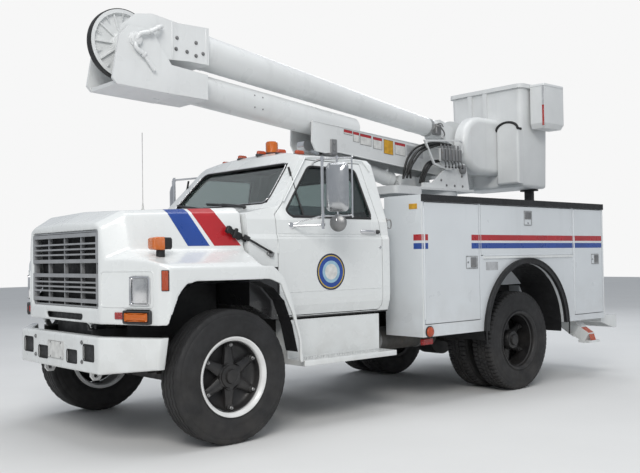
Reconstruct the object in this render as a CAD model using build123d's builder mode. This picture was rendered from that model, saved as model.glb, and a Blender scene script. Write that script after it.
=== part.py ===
import os
from math import cos, radians, sin

from build123d import *

os.makedirs("parts", exist_ok=True)

# Overall layout: +X points forward, +Y to the left, +Z up, and the ground is z = 0
wheelbase = 3655
bumper_reach = 875
tail_reach = 1975
front_axle_x = (wheelbase + bumper_reach + tail_reach) / 2 - bumper_reach
rear_axle_x = front_axle_x - wheelbase

# Clearances
seat_gap = 0.3
panel_gap = 7
hinge_radius = 9
running_gap = 6

# Tyres and wheels
tyre_radius = 510
tyre_width = 254
bead_radius = 286
front_tyre_face = 1180
rear_tyre_face = 1175
dual_pitch = 332
tread_width = 206
rim_wall = 12
rim_depth = 228
hub_radius = 105
spoke_count = 6
spoke_width = 62
spoke_thickness = 46
clamp_radius = 17
spindle_radius = 42
spindle_fit = 0.05

# Axles, kingpins and springs
kingpin_y = 900
kingpin_radius = 22
axle_beam_height = 92
axle_beam_width = 78
axle_drop = 70
diff_radius = 215
diff_nose = 120
axle_tube_radius = 78
spring_width = 76
spring_leaf = 15
spring_count = 5
front_spring_half = 560
rear_spring_half = 680

# Ladder frame
rail_y = 432
rail_height = 238
rail_flange = 76
rail_wall = 9
rail_bottom = 640
rail_front = 790
rail_rear = -(wheelbase + 1615)
cross_stations = (675, -1150, -2350, -wheelbase + 555, -wheelbase - 695, -wheelbase - 1495)
cross_radius = 55

# Power train
engine_length = 740
engine_width = 540
engine_bottom = 700
engine_top = 1390
engine_front = 500
radiator_x = 640
radiator_depth = 70
radiator_top = 1520
gearbox_length = 760
propshaft_radius = 52
joint_tilt = 1
tank_radius = 230
tank_length = 880
tank_x = -1700
muffler_radius = 115
muffler_length = 850
pipe_radius = 38

# Bumper
bumper_top = 842
bumper_height = 276
bumper_half = 690
bumper_end_y = 1135
bumper_end_x = 610
bumper_wall = 10
bumper_flange = 72
tow_eye_radius = 21
tow_eye_thickness = 26

# Cab
cab_back = -1900
cowl_front = -285
cab_half = 992
cab_floor = 905
cab_wall = 46
belt_z = 1600
roof_side_half = 752
roof_side_z = 2300
roof_crown_z = 2392
glass_thickness = 6
glass_depth = 16
cowl_z = 1775
toe_x = -560
toe_z = 1030
windshield_foot_x = -640
windshield_foot_z = 1838
windshield_head_x = -1030
windshield_head_z = 2290

# Tilting hood
hood_wall = 24
hood_hinge_x = 780
hood_hinge_z = 905
hood_pin_radius = 11
nose_x = 822
fender_half = 1190
fender_front_x = 600
fender_bottom = 926
fender_crease_z = 1357
grille_half = 582
grille_bottom = 1048
grille_top = 1634
grille_depth = 46
grille_border = 24
grille_bar = 13
grille_post = 12
grille_rail = 30
grille_recess = 14

# Service body
body_half = 1200
body_front = -2110
body_rear = -(wheelbase + 1627)
body_bottom = 652
body_top = 1973
body_wall = 32
bin_inner = 730
trim_height = 64
trim_proud = 12
door_thickness = 30
hinge_inset = 40
arch_x = -(wheelbase + 90)
arch_radius = 690
arch_top = 1314

# Aerial lift
turret_x = -3590
pedestal_half = 300
pedestal_wall = 20
pedestal_top = 2062
bearing_radius = 330
bearing_height = 58
turret_plate_y = 300
turret_plate = 26
lower_pivot_x = -3831
lower_pivot_z = 2374
elbow_x = 285
elbow_z = 3222
boom_half = 170
lower_tube_radius = 142
upper_tube_radius = 160
tube_wall = 12
lower_slope = 0.1095
lower_drop = -210
upper_slope = 0.132
upper_rise = 162
pin_radius = 38
pin_fit = 0.05
sheave_radius = 292
sheave_half = 34
elbow_gap = 8
elbow_plate = 24
tip_x = -4225
tip_z = 2683
tip_radius = 118
cover_radius = 338
cover_inner = 152
cover_outer = 300
cover_round = 70
bucket_front = -4540
bucket_depth = 560
bucket_left = 620
bucket_right = -420
bucket_bottom = 2190
bucket_top = 3400
bucket_wall = 18
bucket_taper = 26
bucket_lip = 26
bucket_round = 36
cylinder_foot_x = -3060
cylinder_foot_z = 2225
cylinder_eye_x = -1735
cylinder_eye_z = 2520
barrel_radius = 82
rod_radius = 44
barrel_length = 1130
barrel_start = 92
rod_tail = 118


def at(x):
    """A station measured forward of the front axle, as a vehicle x."""
    return front_axle_x + x


def keep(piece, label):
    """Name a finished piece and write it."""
    piece.label = label
    export_step(piece, f"parts/{label}.step")
    return piece


def mirrored(piece):
    """The same piece on the other side of the vehicle."""
    return mirror(piece, about=Plane.XZ)


def plate(outline, y_low, y_high):
    """A solid between two widths, its outline given in side view from the front axle."""
    with BuildPart() as made:
        with BuildSketch(Plane.XZ.offset(-y_high)):
            with BuildLine():
                Polyline(*[(at(x), z) for x, z in outline], close=True)
            make_face()
        extrude(amount=y_high - y_low)
    return made.part


def block(x, y, z):
    """A box from its low and high limits, x measured from the front axle."""
    with BuildPart() as made:
        with BuildSketch(Plane.XY.offset(z[0])):
            with Locations((at((x[0] + x[1]) / 2), (y[0] + y[1]) / 2)):
                Rectangle(x[1] - x[0], y[1] - y[0])
        extrude(amount=z[1] - z[0])
    return made.part


def bar_across(x, z, radius, y_low, y_high):
    """A round bar along Y."""
    with BuildPart() as made:
        with BuildSketch(Plane.XZ.offset(-y_high)):
            with Locations((at(x), z)):
                Circle(radius)
        extrude(amount=y_high - y_low)
    return made.part


def rod_between(start, end, radius):
    """A round rod from one point to another, x measured from the front axle."""
    foot = Vector(at(start[0]), start[1], start[2])
    head = Vector(at(end[0]), end[1], end[2])
    with BuildPart() as made:
        with BuildSketch(Plane(origin=foot, z_dir=head - foot)):
            Circle(radius)
        extrude(amount=(head - foot).length)
    return made.part


def fused(first, *others):
    """One solid from pieces that meet."""
    with BuildPart() as made:
        add(first)
        for other in others:
            add(other)
    return made.part


def cut(first, *tools):
    """A piece with other shapes taken out of it."""
    with BuildPart() as made:
        add(first)
        for tool in tools:
            add(tool, mode=Mode.SUBTRACT)
    return made.part


def common(first, *others):
    """What several shapes share."""
    with BuildPart() as made:
        add(first)
        for other in others:
            add(other, mode=Mode.INTERSECT)
    return made.part


# Wheels

def tyre(face_y):
    """A tyre whose outer sidewall lies at face_y, before it is set on its axle."""
    middle = face_y - tyre_width / 2
    tread = tread_width / 2
    shoulder = tyre_radius - 28
    bulge = tyre_width / 2
    with BuildPart() as made:
        with BuildSketch(Plane.XY):
            with BuildLine():
                crown = Line((tyre_radius, middle - tread), (tyre_radius, middle + tread))
                Line(crown @ 1, (shoulder, middle + tread + 14))
                ThreePointArc(
                    (shoulder, middle + tread + 14),
                    ((shoulder + bead_radius) / 2, middle + bulge),
                    (bead_radius, middle + rim_depth / 2 - 8),
                )
                Line((bead_radius, middle + rim_depth / 2 - 8), (bead_radius, middle - rim_depth / 2 + 8))
                ThreePointArc(
                    (bead_radius, middle - rim_depth / 2 + 8),
                    ((shoulder + bead_radius) / 2, middle - bulge),
                    (shoulder, middle - tread - 14),
                )
                Line((shoulder, middle - tread - 14), crown @ 0)
            make_face()
        revolve(axis=Axis.Y)
    return made.part


def rim(face_y):
    """A demountable rim band with its two flanges, inside the tyre at face_y."""
    middle = face_y - tyre_width / 2
    half = rim_depth / 2
    band = bead_radius - seat_gap
    flange = bead_radius + 18
    with BuildPart() as made:
        with BuildSketch(Plane.XY):
            with BuildLine():
                Polyline(
                    (band - rim_wall, middle - half - 8),
                    (flange, middle - half - 8),
                    (flange, middle - half + 1),
                    (band, middle - half + 7),
                    (band, middle + half - 7),
                    (flange, middle + half - 1),
                    (flange, middle + half + 8),
                    (band - rim_wall, middle + half + 8),
                    close=True,
                )
            make_face()
        revolve(axis=Axis.Y)
    return made.part


def spider(face_y, hub_y_low, hub_y_high, spoke_y):
    """A cast hub with spokes out to the rim and a clamp lug at each spoke's end."""
    reach = bead_radius - seat_gap - rim_wall + 2
    with BuildPart() as made:
        with BuildSketch(Plane.XZ.offset(-hub_y_high)):
            Circle(hub_radius)
        extrude(amount=hub_y_high - hub_y_low)
        with BuildSketch(Plane.XZ.offset(-spoke_y - spoke_thickness / 2)):
            with PolarLocations(reach / 2, spoke_count):
                Rectangle(reach, spoke_width)
        extrude(amount=spoke_thickness)
        with BuildSketch(Plane.XZ.offset(-spoke_y - spoke_thickness / 2 - 20)):
            with PolarLocations(reach - clamp_radius - 8, spoke_count):
                RegularPolygon(clamp_radius, 6)
        extrude(amount=24)
    return made.part


def on_axle(piece, x):
    """A wheel piece moved from the origin to its axle."""
    return Pos(x, 0, tyre_radius) * piece


def axle_bore(y_low, y_high):
    """The bore that a spindle runs in."""
    with BuildPart() as made:
        with BuildSketch(Plane.XZ.offset(-y_high)):
            Circle(spindle_radius + spindle_fit)
        extrude(amount=y_high - y_low)
    return made.part


front_hub_low = front_tyre_face - 205
front_hub_high = front_tyre_face - 24
front_spoke_y = front_tyre_face - 88
front_wheel = cut(
    fused(rim(front_tyre_face), spider(front_tyre_face, front_hub_low, front_hub_high, front_spoke_y)),
    axle_bore(front_hub_low, front_hub_high - 30),
)
left_front_wheel = keep(on_axle(front_wheel, front_axle_x), "left_front_wheel")
left_front_tyre = keep(on_axle(tyre(front_tyre_face), front_axle_x), "left_front_tyre")
right_front_wheel = keep(mirrored(left_front_wheel), "right_front_wheel")
right_front_tyre = keep(mirrored(left_front_tyre), "right_front_tyre")

inner_tyre_face = rear_tyre_face - dual_pitch
rear_hub_low = inner_tyre_face - 120
rear_hub_high = rear_tyre_face - 62
rear_spoke_y = rear_tyre_face - 182
with BuildPart() as spacer_band:
    with BuildSketch(Plane.XZ.offset(-(rear_tyre_face - tyre_width + 14))):
        Circle(bead_radius - seat_gap)
        Circle(bead_radius - seat_gap - rim_wall, mode=Mode.SUBTRACT)
    extrude(amount=dual_pitch - tyre_width + 28)
rear_wheel = cut(
    fused(
        rim(rear_tyre_face),
        rim(inner_tyre_face),
        spacer_band.part,
        spider(rear_tyre_face, rear_hub_low, rear_hub_high, rear_spoke_y),
    ),
    axle_bore(rear_hub_low, rear_hub_high - 30),
)
left_rear_wheel = keep(on_axle(rear_wheel, rear_axle_x), "left_rear_wheels")
with BuildPart() as dual_tyres:
    add(tyre(rear_tyre_face))
    add(tyre(inner_tyre_face))
left_rear_tyres = keep(on_axle(dual_tyres.part, rear_axle_x), "left_rear_tyres")
keep(mirrored(left_rear_wheel), "right_rear_wheels")
right_rear_tyres = keep(mirrored(left_rear_tyres), "right_rear_tyres")

# Steering knuckles and front axle

yoke_low = tyre_radius - 105
yoke_high = tyre_radius + 105
yoke_arm = 34
eye_radius = 48
axle_eye_half = 105 - yoke_arm - seat_gap


def upright(radius, z_low, z_high, y):
    """A round boss on the front axle's kingpin line."""
    with BuildPart() as made:
        with BuildSketch(Plane.XY.offset(z_low)):
            with Locations((front_axle_x, y)):
                Circle(radius)
        extrude(amount=z_high - z_low)
    return made.part


knuckle = fused(
    upright(eye_radius, yoke_low, yoke_low + yoke_arm, kingpin_y),
    upright(eye_radius, yoke_high - yoke_arm, yoke_high, kingpin_y),
    upright(kingpin_radius, yoke_low, yoke_high, kingpin_y),
    block((-eye_radius, eye_radius), (kingpin_y + 4, kingpin_y + 60), (yoke_low, yoke_low + yoke_arm)),
    block((-eye_radius, eye_radius), (kingpin_y + 4, kingpin_y + 60), (yoke_high - yoke_arm, yoke_high)),
    block((-eye_radius, eye_radius), (kingpin_y + eye_radius + 6, kingpin_y + 68), (yoke_low, yoke_high)),
    bar_across(0, tyre_radius, spindle_radius, kingpin_y + 60, front_hub_high - 40),
)
left_knuckle = keep(knuckle, "left_knuckle")
right_knuckle = keep(mirrored(knuckle), "right_knuckle")

beam_low = tyre_radius - axle_drop - axle_beam_height / 2
beam_high = tyre_radius - axle_drop + axle_beam_height / 2
half_beam = [
    (0, beam_low),
    (620, beam_low),
    (kingpin_y - eye_radius - 14, tyre_radius - axle_eye_half),
    (kingpin_y, tyre_radius - axle_eye_half),
    (kingpin_y, tyre_radius + axle_eye_half),
    (kingpin_y - 50, tyre_radius + axle_eye_half),
    (600, beam_high),
    (0, beam_high),
]
with BuildPart() as front_axle:
    with BuildSketch(Plane.YZ.offset(at(-axle_beam_width / 2))):
        with BuildLine():
            Polyline(*half_beam)
            mirror(about=Plane.YZ)
        make_face()
    extrude(amount=axle_beam_width)
    for side in (1, -1):
        add(upright(
            eye_radius - 2,
            tyre_radius - axle_eye_half,
            tyre_radius + axle_eye_half,
            side * kingpin_y,
        ))
        bore = upright(kingpin_radius + spindle_fit, yoke_low, yoke_high, side * kingpin_y)
        add(bore, mode=Mode.SUBTRACT)
keep(front_axle.part, "front_axle")


# Leaf springs: a stack of shortening leaves on each side of each axle

def spring_stack(x, y, seat_z, half_length, hanger_top):
    """One spring seated on its axle, with a hanger bracket up to the frame rail at each end."""
    low = y - spring_width / 2
    high = y + spring_width / 2
    pieces = []
    for leaf in range(spring_count):
        reach = half_length * (0.42 + 0.58 * leaf / (spring_count - 1))
        z = seat_z + leaf * spring_leaf
        pieces.append(block((x - reach, x + reach), (low, high), (z, z + spring_leaf)))
    top = seat_z + spring_count * spring_leaf
    for end in (-1, 1):
        eye = x + end * (half_length - 26)
        pieces.append(block((eye - 26, eye + 26), (low, high), (top, hanger_top)))
    return fused(*pieces)


front_spring_y = rail_y - rail_flange / 2
rear_spring_y = rail_y + seat_gap + spring_width / 2
front_spring = spring_stack(
    0,
    front_spring_y,
    beam_high + seat_gap,
    front_spring_half,
    rail_bottom - seat_gap,
)
with BuildPart() as front_springs:
    add(front_spring)
    mirror(about=Plane.XZ)
keep(front_springs.part, "front_springs")
axle_pad_top = tyre_radius + axle_tube_radius + 12
rear_spring = spring_stack(
    -wheelbase,
    rear_spring_y,
    axle_pad_top + seat_gap,
    rear_spring_half,
    rail_bottom + 190,
)
with BuildPart() as rear_springs:
    add(rear_spring)
    mirror(about=Plane.XZ)
keep(rear_springs.part, "rear_springs")

# Rear axle: a tube with the differential's round case and a spindle at each end

with BuildPart() as rear_axle:
    with BuildSketch(Plane.XZ.offset(-(rear_hub_low - 4))):
        with Locations((rear_axle_x, tyre_radius)):
            Circle(axle_tube_radius)
    extrude(amount=2 * (rear_hub_low - 4))
    with BuildSketch(Plane.XZ.offset(-(rear_hub_high - 40))):
        with Locations((rear_axle_x, tyre_radius)):
            Circle(spindle_radius)
    extrude(amount=2 * (rear_hub_high - 40))
    with BuildSketch(Plane.XZ.offset(-118)):
        with Locations((rear_axle_x, tyre_radius)):
            Circle(diff_radius)
    extrude(amount=236)
    with BuildSketch(Plane.YZ.offset(rear_axle_x + diff_radius - 30)):
        with Locations((0, tyre_radius + 20)):
            Circle(92)
    extrude(amount=diff_nose, taper=12)
    for side in (1, -1):
        pad_low = side * rear_spring_y - spring_width / 2
        add(block(
            (-wheelbase - 70, -wheelbase + 70),
            (pad_low, pad_low + spring_width),
            (tyre_radius, axle_pad_top),
        ))
keep(rear_axle.part, "rear_axle")

# Ladder frame: two channel rails and round cross tubes, with the cab's, engine's and hood's mounts

rail_top = rail_bottom + rail_height
hinge_lug = (rail_y - 66, rail_y - 44)
hinge_ear = (rail_y - 38, rail_y - 18)
hinge_lug_outline = [
    (rail_front - 44, rail_top - 1),
    (rail_front - 1, rail_top - 1),
    (hood_hinge_x + 20, hood_hinge_z),
    (hood_hinge_x + 10, hood_hinge_z + 18),
    (hood_hinge_x - 10, hood_hinge_z + 18),
    (hood_hinge_x - 20, hood_hinge_z),
]
with BuildPart() as frame_rails:
    for side in (1, -1):
        with BuildSketch(Plane.YZ.offset(at(rail_rear))):
            with Locations((side * (rail_y - rail_flange / 2), rail_bottom + rail_height / 2)):
                Rectangle(rail_flange, rail_height)
            with Locations((side * (rail_y - rail_flange / 2 - rail_wall), rail_bottom + rail_height / 2)):
                Rectangle(rail_flange, rail_height - 2 * rail_wall, mode=Mode.SUBTRACT)
        extrude(amount=rail_front - rail_rear)
    for station in cross_stations:
        with BuildSketch(Plane.XZ.offset(-(rail_y - rail_wall))):
            with Locations((at(station), rail_bottom + rail_height / 2)):
                Circle(cross_radius)
                Circle(cross_radius - rail_wall, mode=Mode.SUBTRACT)
        extrude(amount=2 * (rail_y - rail_wall))
    for side in (1, -1):
        for low, high in ((-700, -590), (cab_back + 60, cab_back + 180)):
            pad_y = sorted((side * (rail_y - rail_flange), side * rail_y))
            add(block((low, high), pad_y, (rail_top - 1, cab_floor - 4 - seat_gap)))
        mount_y = sorted((side * (engine_width / 2 + seat_gap), side * (rail_y - rail_wall)))
        add(block((60, 160), mount_y, (engine_bottom + 20, engine_bottom + 90)))
        lug_y = sorted((side * hinge_lug[0], side * hinge_lug[1]))
        add(plate(hinge_lug_outline, *lug_y))
        pin_y = sorted((side * hinge_lug[0], side * (hinge_ear[1] + 6)))
        add(bar_across(hood_hinge_x, hood_hinge_z, hood_pin_radius, *pin_y))
keep(frame_rails.part, "frame_rails")

# Power train

engine_half = engine_width / 2
engine = block(
    (engine_front - engine_length, engine_front),
    (-engine_half, engine_half),
    (engine_bottom, engine_top),
)
keep(engine, "engine_block")
radiator_foot = rail_bottom + rail_height / 2 + cross_radius + seat_gap
radiator = block(
    (radiator_x, radiator_x + radiator_depth),
    (-rail_y + 90, rail_y - 90),
    (radiator_foot, radiator_top),
)
keep(radiator, "radiator")
gearbox_rear = engine_front - engine_length - gearbox_length
diff_nose_x = -wheelbase + diff_radius - 30 + diff_nose + 2 * joint_tilt + seat_gap
with BuildPart() as driveline:
    with BuildSketch(Plane.YZ.offset(at(engine_front - engine_length - seat_gap))) as bell:
        with Locations((0, 752)):
            Rectangle(330, 200)
    with BuildSketch(Plane.YZ.offset(at(gearbox_rear))) as tail_house:
        with Locations((0, 700)):
            Rectangle(180, 150)
    loft(ruled=True)
    add(rod_between((gearbox_rear + 1, 0, 620), (diff_nose_x, 0, tyre_radius + 20), propshaft_radius))
keep(driveline.part, "gearbox_and_propshaft")

# Fuel tank outside the right rail, exhaust outside the left

tank_y = -(rail_y + 14 + tank_radius)
tank_z = rail_bottom + 10
with BuildPart() as fuel_tank:
    with BuildSketch(Plane.YZ.offset(at(tank_x))):
        with Locations((tank_y, tank_z)):
            RectangleRounded(2 * tank_radius, 2 * tank_radius - 60, 70)
    extrude(amount=tank_length)
    for station in (tank_x + 160, tank_x + tank_length - 160):
        add(block(
            (station - 40, station + 40),
            (tank_y, -rail_y - seat_gap),
            (rail_bottom + 10, rail_bottom + 90),
        ))
keep(fuel_tank.part, "fuel_tank")
muffler_x = -wheelbase + 755
muffler_y = rail_y + 20 + muffler_radius
muffler_z = rail_bottom - 40
with BuildPart() as exhaust:
    with BuildSketch(Plane.YZ.offset(at(muffler_x))):
        with Locations((muffler_y, muffler_z)):
            Circle(muffler_radius)
    extrude(amount=muffler_length)
    with BuildSketch(Plane.YZ.offset(at(muffler_x - 60))):
        with Locations((muffler_y, muffler_z)):
            Circle(pipe_radius)
    extrude(amount=muffler_length + 900)
    for station in (muffler_x + 120, muffler_x + muffler_length - 120, muffler_x + muffler_length + 600):
        add(block(
            (station - 15, station + 15),
            (rail_y + seat_gap, muffler_y),
            (muffler_z, rail_bottom + 60),
        ))
keep(exhaust.part, "exhaust")

# Bumper: a deep channel with swept ends, open at the back

bumper_low = bumper_top - bumper_height


def bumper_solid(inset, z_low, z_high):
    """The bumper's plan, moved back from its face by an inset and filled between two heights."""
    back = bumper_reach - bumper_flange
    with BuildPart() as made:
        with BuildSketch(Plane.XY.offset(z_low)):
            with BuildLine():
                Polyline(
                    (at(bumper_reach - inset), 0),
                    (at(bumper_reach - inset), bumper_half - inset * 0.4),
                    (at(bumper_end_x - inset * 0.5), bumper_end_y - inset),
                    (at(bumper_end_x - bumper_flange), bumper_end_y - inset),
                    (at(back), bumper_half - bumper_flange * 0.6),
                    (at(back), 0),
                )
                mirror(about=Plane.XZ)
            make_face()
        extrude(amount=z_high - z_low)
    return made.part


bumper_holes = [
    block((bumper_reach - 40, bumper_reach + 10), (side * y - w / 2, side * y + w / 2), (z, z + h))
    for side in (1, -1)
    for y, z, w, h in ((260, 622, 180, 102), (540, 655, 180, 125))
]
bumper = cut(
    bumper_solid(0, bumper_low, bumper_top),
    bumper_solid(bumper_wall, bumper_low + bumper_wall, bumper_top - bumper_wall),
    *bumper_holes,
)
bumper_bracket = block(
    (rail_front + seat_gap, bumper_reach - bumper_wall + 1),
    (rail_y - rail_flange, rail_y),
    (rail_bottom + 10, bumper_top - bumper_wall + 1),
)
bumper = fused(bumper, bumper_bracket, mirrored(bumper_bracket))
keep(bumper, "front_bumper")
tow_low = rail_y - rail_wall - tow_eye_thickness - 2
tow_front = bumper_reach - bumper_flange - 8
tow_outline = [
    (rail_front - 120, rail_bottom - seat_gap),
    (rail_front - 10, rail_bottom - seat_gap),
    (tow_front, rail_bottom - 30),
    (tow_front, bumper_low - 46),
    (tow_front - 24, bumper_low - 76),
    (tow_front - 70, bumper_low - 76),
    (tow_front - 92, bumper_low - 40),
]
tow_eye_x = tow_front - 44
tow_eye_z = bumper_low - 36
tow_eye = cut(
    plate(tow_outline, tow_low, tow_low + tow_eye_thickness),
    bar_across(tow_eye_x, tow_eye_z, tow_eye_radius, tow_low - 5, tow_low + tow_eye_thickness + 5),
)
with BuildPart() as tow_eyes:
    add(tow_eye)
    mirror(about=Plane.XZ)
keep(tow_eyes.part, "tow_eyes")

# Cab: one hollow volume, from a front-view section and a side-view profile, parted at the door seams

sill_half = cab_half - 40
cab_section = [
    (sill_half, cab_floor - 4),
    (cab_half - 6, 1005),
    (cab_half, 1060),
    (cab_half, belt_z - 40),
    (cab_half - 16, belt_z),
    (cab_half - 28, 1720),
    (roof_side_half + 14, roof_side_z - 34),
    (roof_side_half - 22, roof_side_z + 8),
]
cab_profile = [
    (toe_x, cab_floor - 4),
    (cowl_front, toe_z),
    (cowl_front, cowl_z - 14),
    (cowl_front - 20, cowl_z),
    (windshield_foot_x, windshield_foot_z),
    (windshield_head_x, windshield_head_z),
    (windshield_head_x - 70, windshield_head_z + 62),
    (windshield_head_x - 200, roof_crown_z + 12),
    (cab_back + 130, roof_crown_z + 12),
    (cab_back + 30, roof_crown_z - 60),
    (cab_back, roof_crown_z - 130),
    (cab_back, cab_floor - 4),
]


def cab_volume(inset):
    """The cab's outer form, drawn in by an inset on every side."""
    with BuildPart() as made:
        with BuildSketch(Plane.YZ.offset(at(cab_back - 5))):
            with BuildLine():
                side = Polyline(*cab_section)
                ThreePointArc(side @ 1, (0, roof_crown_z), (-(side @ 1).X, (side @ 1).Y))
                mirror(side, about=Plane.YZ)
                Line(side @ 0, (-(side @ 0).X, (side @ 0).Y))
            make_face()
            if inset:
                offset(amount=-inset, kind=Kind.INTERSECTION)
        extrude(amount=cowl_front - cab_back + 10)
        with BuildSketch(Plane.XZ.offset(-cab_half - 5)):
            with BuildLine():
                Polyline(*[(at(x), z) for x, z in cab_profile], close=True)
            make_face()
            if inset:
                offset(amount=-inset, kind=Kind.INTERSECTION)
        extrude(amount=2 * cab_half + 10, mode=Mode.INTERSECT)
    return made.part


door_outline = [
    (-586, 925),
    (-586, 1760),
    (-690, 1852),
    (-1072, 2262),
    (-1740, 2262),
    (-1800, belt_z),
    (-1800, 960),
    (-1770, 925),
]
side_window = [
    (-716, 1800),
    (-1096, 2206),
    (-1660, 2206),
    (-1712, 1752),
    (-760, 1752),
]
windshield_half = (735, 648)
windshield_z = (1876, 2240)
rear_window_size = (1080, 380)
rear_window_z = 1960


def grown(outline, amount, y_low, y_high):
    """A plate whose side-view outline is moved out, or in, by an amount."""
    with BuildPart() as made:
        with BuildSketch(Plane.XZ.offset(-y_high)):
            with BuildLine():
                Polyline(*[(at(x), z) for x, z in outline], close=True)
            make_face()
            if amount:
                offset(amount=amount, kind=Kind.INTERSECTION)
        extrude(amount=y_high - y_low)
    return made.part


def windshield_prism(clearance):
    """The windshield's opening, run back through the raked wall."""
    low, high = windshield_half
    foot, head = windshield_z
    with BuildPart() as made:
        with BuildSketch(Plane.YZ.offset(at(windshield_head_x - 150))):
            with BuildLine():
                Polyline((low, foot), (high, head), (-high, head), (-low, foot), close=True)
            make_face()
            if clearance:
                offset(amount=-clearance, kind=Kind.INTERSECTION)
        extrude(amount=700)
    return made.part


def rear_window_prism(clearance):
    """The rear window's opening, through the back wall."""
    width, height = rear_window_size
    with BuildPart() as made:
        with BuildSketch(Plane.YZ.offset(at(cab_back - 20))):
            with Locations((0, rear_window_z)):
                RectangleRounded(width - 2 * clearance, height - 2 * clearance, 60)
        extrude(amount=120)
    return made.part


cab_hull = cut(cab_volume(0), cab_volume(cab_wall))
glass_layer = cut(cab_volume(glass_depth), cab_volume(glass_depth + glass_thickness))
side_layer = cab_wall + 4


def within_side(layer):
    """The room inside a side wall of the given thickness."""
    with BuildPart() as made:
        with BuildSketch(Plane.YZ.offset(at(cab_back - 5))):
            with BuildLine():
                inner_side = [(y - layer, z) for y, z in cab_section]
                foot = (inner_side[0][0], cab_floor - 200)
                head = (inner_side[-1][0], roof_crown_z + 200)
                Polyline((0, foot[1]), foot, *inner_side, head, (0, head[1]), close=True)
            make_face()
        extrude(amount=cowl_front - cab_back + 10)
    return made.part


door_zone = cut(grown(door_outline, panel_gap, 500, cab_half + 20), within_side(side_layer + panel_gap))

# The window frame leans in, so its rear edge is cut square to the door's swing
jamb_foot = Vector(at(door_outline[5][0]), cab_half - 16, belt_z)
jamb_head = Vector(at(door_outline[4][0]), roof_side_half + 15, door_outline[4][1])
jamb_slant = Vector((cab_half - jamb_head.Y) / (at(door_outline[0][0]) - jamb_head.X), -1, 0)
jamb_edge = jamb_head - jamb_foot
with BuildPart() as jamb_cut:
    with BuildSketch(Plane(origin=jamb_foot, x_dir=jamb_edge, z_dir=jamb_slant.cross(jamb_edge))):
        Rectangle(2000, 400)
    extrude(amount=60)


def hinge_barrel(x, y, z_low, z_high, radius):
    """An upright hinge barrel at a panel's edge."""
    with BuildPart() as made:
        with BuildSketch(Plane.XY.offset(z_low)):
            with Locations((at(x), y)):
                Circle(radius)
        extrude(amount=z_high - z_low)
    return made.part


door_hinge_x = door_outline[0][0] + panel_gap / 2
door_hinges = [
    [hinge_barrel(door_hinge_x, cab_half, z - grow, z + 90 + grow, hinge_radius + grow) for z in (1110, 1440)]
    for grow in (0, seat_gap)
]
left_door_hinges, left_hinge_room = door_hinges
cab_shell = cut(
    cab_hull,
    windshield_prism(0),
    rear_window_prism(0),
    door_zone,
    mirrored(door_zone),
)
cab_shell = fused(cab_shell, *left_door_hinges, *[mirrored(barrel) for barrel in left_door_hinges])
keep(cab_shell, "cab_shell")
with BuildPart() as cab_glass:
    add(common(glass_layer, windshield_prism(seat_gap)))
    add(common(glass_layer, rear_window_prism(seat_gap)))
keep(cab_glass.part, "cab_glass")

door_window = grown(side_window, 0, 500, cab_half + 20)
door_pane = grown(side_window, -seat_gap, 500, cab_half + 20)
door_panel = common(cab_hull, cut(grown(door_outline, 0, 500, cab_half + 20), within_side(side_layer)))
left_door = cut(door_panel, door_window, jamb_cut.part, *left_hinge_room)
keep(left_door, "left_door")
keep(mirrored(left_door), "right_door")
left_door_glass = common(glass_layer, door_pane)
keep(left_door_glass, "left_door_glass")
keep(mirrored(left_door_glass), "right_door_glass")

# Cab inside: bench seat, dashboard with the steering wheel, and steps below the doors

inner_half = cab_half - cab_wall - 30
floor_top = cab_floor - 4 + cab_wall
bench_front = -1130
bench_rear = cab_back + cab_wall + 12
with BuildPart() as bench_seat:
    with BuildSketch(Plane.XZ.offset(-(inner_half - 60))):
        with BuildLine():
            Polyline(
                (at(bench_front), floor_top + 190),
                (at(bench_front), floor_top + 340),
                (at(bench_rear + 190), floor_top + 330),
                (at(bench_rear + 90), floor_top + 900),
                (at(bench_rear), floor_top + 900),
                (at(bench_rear), floor_top + 190),
                close=True,
            )
        make_face()
    extrude(amount=2 * (inner_half - 60))
keep(bench_seat.part, "bench_seat")
seat_box = block(
    (bench_rear + 40, bench_front - 60),
    (-700, 700),
    (floor_top + seat_gap, floor_top + 190 - seat_gap),
)
keep(seat_box, "seat_box")
dash_front = cowl_front - cab_wall - seat_gap
wheel_centre = (-860, 390, 1640)
column_foot = (-500, 390, 1400)
with BuildPart() as dashboard:
    with BuildSketch(Plane.XZ.offset(-(inner_half - 20))):
        with BuildLine():
            Polyline(
                (at(dash_front), 1380),
                (at(dash_front), 1715),
                (at(dash_front - 240), 1750),
                (at(dash_front - 350), 1690),
                (at(dash_front - 350), 1560),
                (at(dash_front - 230), 1380),
                close=True,
            )
        make_face()
    extrude(amount=2 * (inner_half - 20))
    add(rod_between(column_foot, wheel_centre, 26))
    wheel_plane = Plane(
        origin=(at(wheel_centre[0]), wheel_centre[1], wheel_centre[2]),
        z_dir=(wheel_centre[0] - column_foot[0], 0, wheel_centre[2] - column_foot[2]),
        x_dir=(0, 1, 0),
    )
    with BuildSketch(wheel_plane):
        Circle(215)
        Circle(190, mode=Mode.SUBTRACT)
        Rectangle(390, 30)
        Rectangle(30, 390)
        Circle(62)
    extrude(amount=24)
keep(dashboard.part, "dashboard_and_steering_wheel")

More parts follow.
